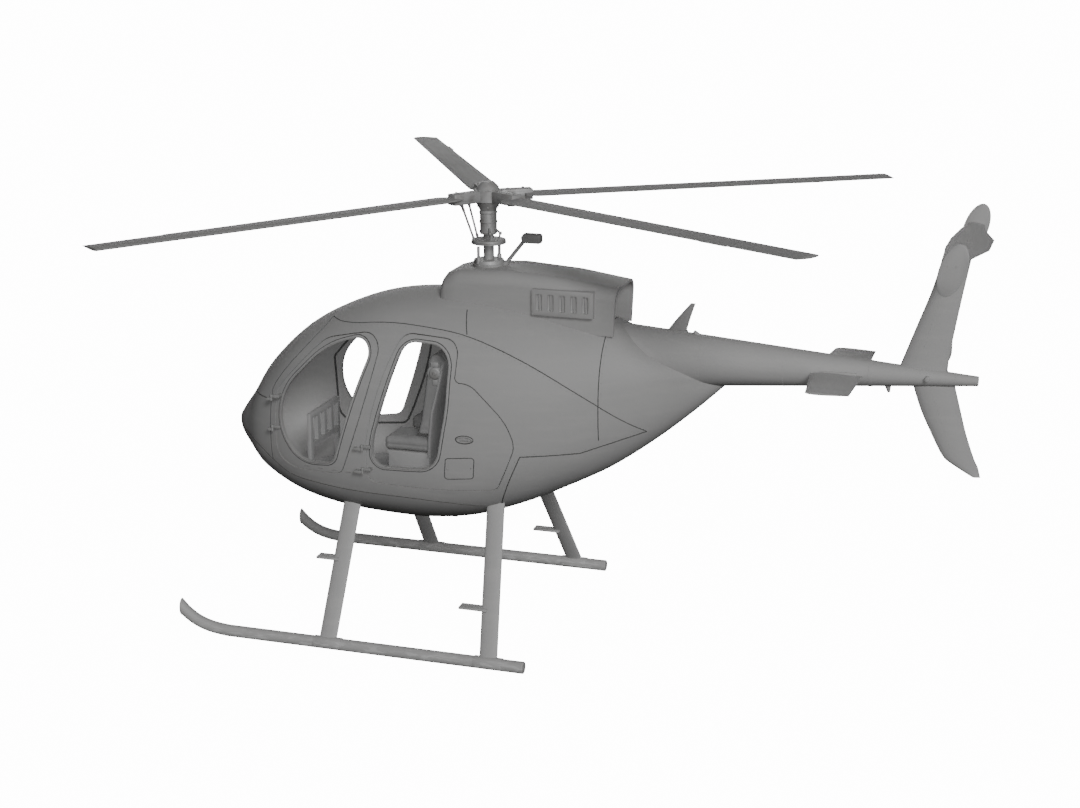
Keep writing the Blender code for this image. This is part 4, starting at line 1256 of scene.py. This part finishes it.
# %% [markdown]
# The tail's fins, the stabiliser with its oval plates, the two winglets and the antenna are all
# foils. The fin and the ventral fin are set into the boom, so they grow out of it without a gap.
# %% Fins and stabiliser
STABILISER_Z = 3.930
STABILISER_HALF = 0.020
STABILISER_SPAN = 0.980
PLATE_CENTRE = Vector((-4.712, 3.895))
PLATE_LEAN = (0.954, 0.300)
WINGLET_Z = 2.706
UPPER_FIN = ((2.700, -4.170, -4.600, 0.040), (3.160, -4.330, -4.670, 0.036), (3.540, -4.460, -4.730, 0.033),
             (3.909, -4.547, -4.793, 0.030))
VENTRAL_FIN = ((2.720, -4.300, -4.680, 0.035), (2.430, -4.400, -4.760, 0.031),
               (2.220, -4.500, -4.820, 0.027), (2.000, -4.620, -4.900, 0.023),
               (1.920, -4.720, -4.940, 0.019), (1.8215, -4.895, -4.968, 0.015))
FINS = (("upper", UPPER_FIN, (-4.420, 0.0375, 3.00), (-4.625, 0.0295, 3.86), 22),
        ("ventral", VENTRAL_FIN, (-4.530, 0.0310, 2.50), (-4.690, 0.0240, 2.08), 12))
PLAN = ((-STABILISER_SPAN, -4.645, -4.790), (-0.700, -4.600, -4.820), (-0.240, -4.562, -4.940),
        (0.240, -4.562, -4.940), (0.700, -4.600, -4.820), (STABILISER_SPAN, -4.645, -4.790))
WINGLET = ((0.100, -3.427, -3.898, 0.016), (0.820, -3.499, -3.881, 0.015), (0.830, -3.504, -3.878, 0.011))
AERIAL = ((2.930, -2.045, -2.243, 0.012), (3.060, -2.140, -2.278, 0.010), (3.160, -2.222, -2.308, 0.008),
          (3.238, -2.288, -2.334, 0.006))


def upright(z, x, out):
    return Vector((x, out, z))


def spanwise(y, x, up):
    return Vector((x, y, STABILISER_Z + up))


def rivet_line(bm, start, end, normal, count, size=0.0042):
    for k in range(count):
        dome(bm, Vector(start).lerp(Vector(end), k / (count - 1)), normal, size)


def plate_section(y, size):
    """The plate's leaning oval at y, at a share of its full size."""
    cosine, sine = PLATE_LEAN
    return [(PLATE_CENTRE.x - sine * along + cosine * across, y,
             PLATE_CENTRE.y + cosine * along + sine * across)
            for along, across in ellipse(48, 0.232 * size, 0.112 * size)]


for place, rows, (x, y, z), (end_x, end_y, end_z), count in FINS:
    fin = foil_body(through(rows), upright)
    for side, _ in SIDES:
        rivet_line(fin, (x, side * y, z), (end_x, side * end_y, end_z), (0, side, 0), count)
    keep(f"fin_{place}", fin, LIT_TAIL_PAINT, [f"{place}_fin"], angle=FOIL_ANGLE)

tailplane = foil_body([(y, lead, trail, STABILISER_HALF) for y, lead, trail in PLAN], spanwise)
for y in (-0.68, -0.28, 0.28, 0.68):
    rivet_line(tailplane, (-4.630, y, STABILISER_Z + 0.0185), (-4.770, y, STABILISER_Z + 0.0125),
               (0.06, 0, 1), 7, 0.004)
for x in (-4.640, -4.730):
    bolt(tailplane, (x, 0.0, STABILISER_Z + 0.0185), (0, 0, 1), 0.008, 0.006)
keep("tailplane", tailplane, LIT_TAIL_PAINT, ["stabiliser"], angle=FOIL_ANGLE)

for side, hand in SIDES:
    plate = sweep([plate_section(side * y, size)
                   for y, size in ((0.9803, 0.955), (0.9845, 1.0), (1.0105, 1.0), (1.0150, 0.955))])
    for x in (-4.670, -4.740):
        bolt(plate, (x, side * 1.015, STABILISER_Z), (0, side, 0), 0.006, 0.004)
    keep(f"oval_plate_{hand}", plate, LIT_TAIL_PAINT, [f"end_plate_{hand}"])
    winglet = foil_body(WINGLET, lambda y, x, up, s=side: Vector((x, s * y, WINGLET_Z + up)))
    rivet_line(winglet, (-3.60, side * 0.16, 2.7215), (-3.62, side * 0.80, 2.7195), (0, 0, 1), 14, 0.004)
    block(winglet, (-3.84, 0.128, 2.698), (-3.47, 0.152, 2.732), 0.003, Matrix.Diagonal((1, side, 1, 1)))
    keep(f"side_winglet_{hand}", winglet, LIT_TAIL_PAINT, [f"winglet_{hand}"], angle=FOIL_ANGLE)

aerial = foil_body(through(AERIAL), upright)
block(aerial, (-2.262, -0.030, 2.940), (-2.028, 0.030, 2.978), 0.004)
for x in (-2.245, -2.045):
    for y in (-0.020, 0.020):
        bolt(aerial, (x, y, 2.978), (0, 0, 1), 0.0035, 0.003)
keep("antenna_fin", aerial, FITTING_PAINT, ["antenna_blade"], angle=FOIL_ANGLE)

# %% [markdown]
# The gear is two long tubes that curl up at the front, held by four faired legs. A clamp shoe ties
# each leg to its tube, and a ribbed step sticks out ahead of it.
# %% Landing gear
SKID_Y = 1.384
SKID_RADIUS = 0.0575
SKID_REAR = -1.126
SKID_BEND = 1.830
SKID_TIP = Vector((2.3201, 0.0, 0.245))
TIP_SLOPE = math.radians(48.0)
STRUT_CHORD = 0.175
STRUT_THICK = 0.060
LEGS = (("front", 0.807, 0.835, 1.36, 0.52, 0.25), ("rear", -0.783, -0.590, 1.40, 0.30, 0.30))
TUBE_SIDES = 36


def skid_tube(y):
    path = [Vector((SKID_REAR, y, SKID_RADIUS)), Vector((SKID_REAR + 0.006, y, SKID_RADIUS))]
    path += [Vector((SKID_REAR + (SKID_BEND - SKID_REAR) * k / 8, y, SKID_RADIUS)) for k in range(1, 9)]
    for k in range(1, 15):
        share = k / 14
        lift = 0.2 * share + 0.8 * share ** 3
        path.append(Vector((SKID_BEND + (SKID_TIP.x - SKID_BEND) * share, y,
                            SKID_RADIUS + (SKID_TIP.z - SKID_RADIUS) * lift)))
    sections = []
    for i, here in enumerate(path):
        tangent = (path[min(i + 1, len(path) - 1)] - path[max(i - 1, 0)]).normalized()
        up = Vector((-tangent.z, 0, tangent.x))
        if i == len(path) - 1:
            up = Vector((0, 0, 1 / math.cos(TIP_SLOPE)))
        radius = SKID_RADIUS - (0.005 if i == 0 else 0.0)
        ring = ellipse(TUBE_SIDES, radius, radius)
        sections.append([here + Vector((0, out, 0)) + up * rise for rise, out in ring])
    return sweep(sections)


def shoe(x, y):
    """The upper part of a sleeve round the tube, with a flange on each side."""
    bm = bmesh.new()
    rod(bm, (x - 0.135, y, SKID_RADIUS), (x + 0.135, y, SKID_RADIUS), SKID_RADIUS + 0.006,
        sides=48, soft=0.003)
    cut = bmesh.ops.bisect_plane(bm, geom=bm.verts[:] + bm.edges[:] + bm.faces[:], plane_co=(0, 0, 0.034),
                                 plane_no=(0, 0, 1), clear_inner=True)
    bmesh.ops.edgeloop_fill(bm, edges=[g for g in cut["geom_cut"] if isinstance(g, bmesh.types.BMEdge)])
    for reach in (-0.105, 0.105):
        for side in (1, -1):
            bolt(bm, (x + reach, y + side * 0.0617, 0.0500), (0, side, 0.1), 0.007, 0.006)
    return bm


def leg(foot, top):
    """A strut with an oval section that is level at every height."""
    ring = [Vector((x, y, 0)) for x, y in ellipse(TUBE_SIDES, STRUT_CHORD / 2, STRUT_THICK / 2)]
    centres = [foot.lerp(top, share) for share in (-0.02, 0.25, 0.5, 0.75, 1.0)]
    return sweep([[centre + point for point in ring] for centre in centres])


def step(bm, at, reach):
    """A ribbed step that sticks out ahead of the leg."""
    block(bm, (at.x + 0.02, at.y - 0.058, at.z - 0.014), (at.x + reach, at.y + 0.058, at.z + 0.011), 0.006)
    for k in range(7):
        bar = at.x + 0.100 + (reach - 0.115) * k / 6
        block(bm, (bar - 0.004, at.y - 0.048, at.z + 0.010),
              (bar + 0.004, at.y + 0.048, at.z + 0.0138), 0.0012)
    for across in (-0.034, 0.034):
        bolt(bm, (at.x + 0.092, at.y + across, at.z - 0.0135), (0, 0, -1), 0.005, 0.004)


for side, hand in SIDES:
    y = side * SKID_Y
    keep(f"skid_tube_{hand}", skid_tube(y), GEAR_PAINT, [f"skid_{hand}"])
    for place, foot_x, top_x, top_z, step_share, reach in LEGS:
        foot = Vector((foot_x, y, 0.095))
        top = Vector((top_x, side * 0.560, top_z))
        strut = workpiece(leg(foot, top), GEAR_PAINT)
        carve(strut, workpiece(pod_body(0.003), GEAR_PAINT))
        strut = joined(taken_up(strut), shoe(foot_x, y))
        step(strut, foot.lerp(top, step_share), reach)
        keep(f"leg_{place}_{hand}", strut, GEAR_PAINT, [f"strut_{place}_{hand}"])

fitting = workpiece(outward(block(bmesh.new(), (-0.05, -0.16, 0.990), (0.36, 0.16, 1.085), 0.006)), METAL)
carve(fitting, workpiece(pod_body(0.002), METAL))
fitting = taken_up(fitting)
for x in (0.02, 0.155, 0.29):
    for side, _ in SIDES:
        bolt(fitting, (x, side * 0.1598, 1.012), (0, side, 0), 0.007, 0.005)
keep("belly_plate", fitting, METAL, ["belly_fitting"])

# %% [markdown]
# Small hardware makes a door believable: two hinges with a barrel and straps, an oval pull set in
# the skin, and short studs on the lower rim. The barrels stand on the joints' own axes, so that
# each door's leaf turns about its pin.
# %% Door hardware
HINGES = {"front": (1.585, 0.785, (1.895, 2.195), 0.045), "rear": (0.590, 0.970, (1.62, 1.84), 0.085)}
BARREL_RADIUS = 0.013
BARREL_HEIGHT = 0.030
DOOR_STRAP = 0.085


def hinge_leaf(bm, hinge, side, low_z, reach):
    """A barrel on the axis, a strap along the skin and a foot that goes into the skin."""
    x, y = hinge[:2]
    high_z = low_z + BARREL_HEIGHT
    end_x = x + reach
    foot_x = end_x - math.copysign(0.030, reach)
    middle_x = (foot_x + end_x) / 2
    flip = Matrix.Diagonal((1, side, 1, 1))
    rod(bm, (x, side * y, low_z), (x, side * y, high_z), BARREL_RADIUS, sides=24, soft=0.002)
    for from_x, inner, outer in ((x, y - BARREL_RADIUS * 0.8, y + 0.008),
                                 (foot_x, skin_y(middle_x, low_z) - 0.020, y - 0.001)):
        block(bm, (min(from_x, end_x), inner, low_z + 0.002),
              (max(from_x, end_x), outer, high_z - 0.002), 0.002, flip)
    bolt(bm, (middle_x, side * (y + 0.0078), (low_z + high_z) / 2), (0, side, 0), 0.0045, 0.0035)


def door_hardware(place, side):
    bm = bmesh.new()
    hinge = HINGES[place]
    for z in hinge[2]:
        hinge_leaf(bm, hinge, side, z + BARREL_HEIGHT + 0.0003, -DOOR_STRAP)
    if place == "rear":
        bead(bm, on_skin(oval(HANDLE, 0.068, 0.026), side, 0.002), 0.0070, True)
        pull = [HANDLE + Vector((x, 0.0)) for x in (-0.040, -0.020, 0.0, 0.020, 0.040)]
        bead(bm, on_skin(pull, side, 0.006), 0.0085, False, 3)
        for x, z in ((-0.235, 1.725), (-0.455, 1.745)):
            dome(bm, on_skin([Vector((x, z))], side)[0], skin_normal(x, z, side), 0.009, 0.004)
    else:
        for x in (1.210, 1.060, 0.905, 0.760):
            stud = [Vector((x + reach, 1.600)) for reach in (-0.028, 0.0, 0.028)]
            bead(bm, on_skin(stud, side, 0.001), 0.0045)
    return bm


for side, hand in SIDES:
    fixed = bmesh.new()
    for place, hinge in HINGES.items():
        keep(f"hardware_{place}_{hand}", door_hardware(place, side), FITTING_PAINT,
             body=door_body(place, hand))
        for z in hinge[2]:
            hinge_leaf(fixed, hinge, side, z, hinge[3])
    keep(f"fixed_hinges_{hand}", fixed, FITTING_PAINT)

# %% [markdown]
# Rows of flush rivets follow the seams. A rivet is a low cone of eight sides: hundreds of them stay
# cheap, and each one lies along the skin's own normal.
# %% Rivet rows
RIVET_PITCH = 0.065
ROOT_Z = 2.380


def rivet_row(bm, line, side, shift):
    """Rivets beside a seam. shift moves the row across the seam, in side view."""
    points = stepped([Vector(p) for p in line], RIVET_PITCH)
    for here, ahead in zip(points, points[1:]):
        along = (ahead - here).normalized()
        spot = here + Vector((-along.y, along.x)) * shift
        if abs(skin_y(spot.x, spot.y)) > 0.12:
            dome(bm, on_skin([spot], side)[0], skin_normal(spot.x, spot.y, side))


rivets = bmesh.new()
for side, _ in SIDES:
    for line, shift in (((ROOF_FRONT, *ROOF_LINE[:7]), 0.022), ((CHINE_REAR, *ENGINE_LINE), -0.022),
                        (smooth_line((ROOF_FRONT, *WINDSHIELD_LINE, NOSE_REAR)), 0.022),
                        ((CHINE_FRONT, *CHINE_SIDE, CHINE_REAR), -0.024)):
        rivet_row(rivets, line, side, shift)
for spot in ring_at(ROOT_X - 0.022, range(-100, 101, 8)):
    dome(rivets, spot, (0.0, spot.y, spot.z - ROOT_Z))
keep("skin_rivets", rivets, FITTING_PAINT)

# %% [markdown]
# The seats are real pads on a moulded shell. Each pad starts a little small, is remeshed evenly and
# then swells under cloth pressure, with a cap on how far a point may go. Its sewn channels are
# pressed in afterwards, because a remesh would wipe them out.
# %% Seats
SEAT_Y = 0.36
FLOOR_TOP = 1.3003
PAD_VOXEL = 0.009
PAD_FRAMES = 20

PAD_CAP = 0.010
PAD_PRESSURE = 4.0
CHANNEL_Y = 0.135
CHANNEL_WIDTH = 0.009
REEL = Vector((0.008, 0.0, 2.530))


def puffed(bm):
    pad = workpiece(outward(bm), CLOTH)
    grid = pad.modifiers.new("grid", "REMESH")
    grid.mode = "VOXEL"
    grid.voxel_size = PAD_VOXEL
    applied(pad)
    rest = [v.co.copy() for v in pad.data.vertices]
    cloth = pad.modifiers.new("swell", "CLOTH")
    cloth.settings.quality = 4
    cloth.settings.use_pressure = True
    cloth.settings.uniform_pressure_force = PAD_PRESSURE
    cloth.settings.effector_weights.gravity = 0.0
    cloth.point_cache.frame_start = 1
    cloth.point_cache.frame_end = PAD_FRAMES
    for frame_number in range(1, PAD_FRAMES + 1):
        bpy.context.scene.frame_set(frame_number)
    swollen = pad.evaluated_get(bpy.context.evaluated_depsgraph_get()).to_mesh()
    after = [v.co.copy() for v in swollen.vertices]
    pad.modifiers.clear()
    bpy.context.scene.frame_set(1)
    for vert, start, end in zip(pad.data.vertices, rest, after):
        growth = end - start
        if growth.length > PAD_CAP:
            growth *= PAD_CAP / growth.length
        vert.co = start + growth
    return taken_up(pad)


def press(bm, depth, width, distance):
    """Presses a channel in where distance(point) is 0."""
    outward(bm).normal_update()
    for vert in bm.verts:
        vert.co -= vert.normal * depth * math.exp(-(distance(vert.co) / width) ** 2)
    return bm


BACK_PROFILE = ((0.192, 1.915), (0.156, 2.070), (0.072, 2.650), (0.040, 2.705), (-0.010, 2.725),
                (-0.055, 2.706), (-0.076, 2.655), (-0.020, 2.400), (0.046, 2.150), (0.072, 1.915))


def back_pad():
    bm = extruded(BACK_PROFILE, -0.205, -0.10, 0.0, 0.10, 0.205)
    soften(bm, bm.verts[:], 0.022, 3)
    bm = press(puffed(bm), 0.010, CHANNEL_WIDTH, lambda p: abs(p.y) - CHANNEL_Y)
    return press(bm, 0.008, CHANNEL_WIDTH, lambda p: p.z - 2.36 if abs(p.y) < CHANNEL_Y else 1.0)


def cushion_pad():
    bm = block(bmesh.new(), (0.080, -0.205, 1.745), (0.540, 0.205, 1.868), 0.034)
    bm = press(puffed(bm), 0.010, CHANNEL_WIDTH, lambda p: abs(p.y) - CHANNEL_Y)
    return press(bm, 0.007, 0.007, lambda p: p.z - 1.800 if p.x > 0.1 else 1.0)


def seat_shell():
    """A box base with a thin moulded back, on four bolted feet."""
    bm = extruded(((0.500, FLOOR_TOP), (0.495, 1.700), (0.520, 1.738), (0.080, 1.738), (0.075, FLOOR_TOP)),
                  -0.200, 0.200)
    soften(bm, bm.verts[:], 0.012, 3)
    rear = BACK_PROFILE[6:]
    outline = [(0.094, 1.700)] + [(x + 0.006, z) for x, z in reversed(rear)]
    outline += [(x - 0.016, z) for x, z in rear] + [(0.062, 1.700)]
    back_shell = extruded(outline, -0.215, 0.215)
    soften(back_shell, back_shell.verts[:], 0.004, 2)
    bm = joined(bm, back_shell)
    for x in (0.13, 0.44):
        for side, _ in SIDES:
            block(bm, (x - 0.022, side * 0.208 - 0.012, FLOOR_TOP),
                  (x + 0.022, side * 0.208 + 0.012, FLOOR_TOP + 0.012), 0.003)
            bolt(bm, (x, side * 0.209, FLOOR_TOP + 0.0115), (0, 0, 1), 0.007, 0.006)
    return bm


def belt_reel(side):
    """The harness reel on the outer side of the seat's back, with its strap guide."""
    place = Matrix.Translation((REEL.x, side * 0.190, REEL.z)) @ Matrix.Rotation(-side * math.pi / 2, 4, "X")
    bm = turn(((0.0, 0.0), (0.070, 0.0), (0.074, 0.004), (0.074, 0.010), (0.058, 0.013), (0.052, 0.024),
               (0.046, 0.027), (0.020, 0.027), (0.016, 0.032), (0.0, 0.032)), place, 40)
    flip = Matrix.Diagonal((1, side, 1, 1))
    block(bm, (-0.030, 0.185, 2.592), (0.046, 0.214, 2.640), 0.006, flip)
    block(bm, (-0.022, 0.185, 2.416), (0.034, 0.205, 2.470), 0.006, flip)
    for x, z in ellipse(5, 0.064, 0.064):
        bolt(bm, (REEL.x + x, side * 0.201, REEL.z + z), (0, side, 0), 0.0045, 0.004)
    return bm


cushion = cushion_pad()
back = back_pad()
for side, hand in SIDES:
    across = Matrix.Translation((0, side * SEAT_Y, 0))
    keep(f"seat_shell_{hand}", shifted(seat_shell(), across), TRIM, [f"seat_{hand}"])
    for part, source in (("cushion", cushion), ("back", back)):
        padded = keep(f"seat_{part}_{hand}", shifted(source.copy(), across), CLOTH, angle=80)
    keep(f"belt_reel_{hand}", shifted(belt_reel(side), across), METAL)

# %% [markdown]
# The frame of the instrument panel is a slotted plate between two legs. Its slots are cut with
# rounded corners and every edge is broken.
# %% Panel frame
PANEL_X = 1.400
PANEL_HALF_WIDTH = 0.36
PANEL_TOP = 1.960
PANEL_BOTTOM = 1.610
PANEL_HALF_THICK = 0.020
SLOTS = 4


def panel_frame():
    box = block(bmesh.new(), (PANEL_X - PANEL_HALF_THICK, -PANEL_HALF_WIDTH, FLOOR_TOP),
                (PANEL_X + PANEL_HALF_THICK, PANEL_HALF_WIDTH, PANEL_TOP), 0.008)
    panel = workpiece(box, TRIM)
    openings = [(-PANEL_HALF_WIDTH + 0.060, PANEL_HALF_WIDTH - 0.060, FLOOR_TOP - 0.2, PANEL_BOTTOM)]
    pitch = (2 * PANEL_HALF_WIDTH - 0.06) / SLOTS
    for k in range(SLOTS):
        start = -PANEL_HALF_WIDTH + 0.05 + k * pitch
        openings.append((start, start + pitch - 0.05, PANEL_BOTTOM + 0.05, PANEL_TOP - 0.05))
    for low_y, high_y, low_z, high_z in openings:
        hole = block(bmesh.new(), (PANEL_X - 0.1, low_y, low_z), (PANEL_X + 0.1, high_y, high_z))
        bevelled(hole, [e for e in hole.edges if abs(e.verts[0].co.x - e.verts[1].co.x) > 0.1], 0.018, 5)
        carve(panel, workpiece(outward(hole), TRIM))
    bm = taken_up(panel)
    for y in (-PANEL_HALF_WIDTH + 0.03, PANEL_HALF_WIDTH - 0.03):
        block(bm, (PANEL_X - 0.045, y - 0.040, FLOOR_TOP),
              (PANEL_X + 0.045, y + 0.040, FLOOR_TOP + 0.010), 0.003)
        for x in (-0.034, 0.034):
            bolt(bm, (PANEL_X + x, y, FLOOR_TOP + 0.0098), (0, 0, 1), 0.006, 0.005)
        for z in (1.660, 1.785, 1.910):
            bolt(bm, (PANEL_X - PANEL_HALF_THICK, y * 1.02, z), (-1, 0, 0), 0.005, 0.004)
    return bm


keep("panel_rack", panel_frame(), TRIM, ["panel_frame"])

# %% [markdown]
# Three plain solids already have the right shape: the cabin floor, the bulkhead behind it and the
# engine block. They stay, and only get a finish with some grain.
# %% Finishes of the plain solids
for node, finish in (("cabin_floor", TRIM), ("aft_bulkhead", TRIM), ("engine_block", METAL)):
    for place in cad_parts[node].material_slots:
        place.material = finish
print("plain solids finished")
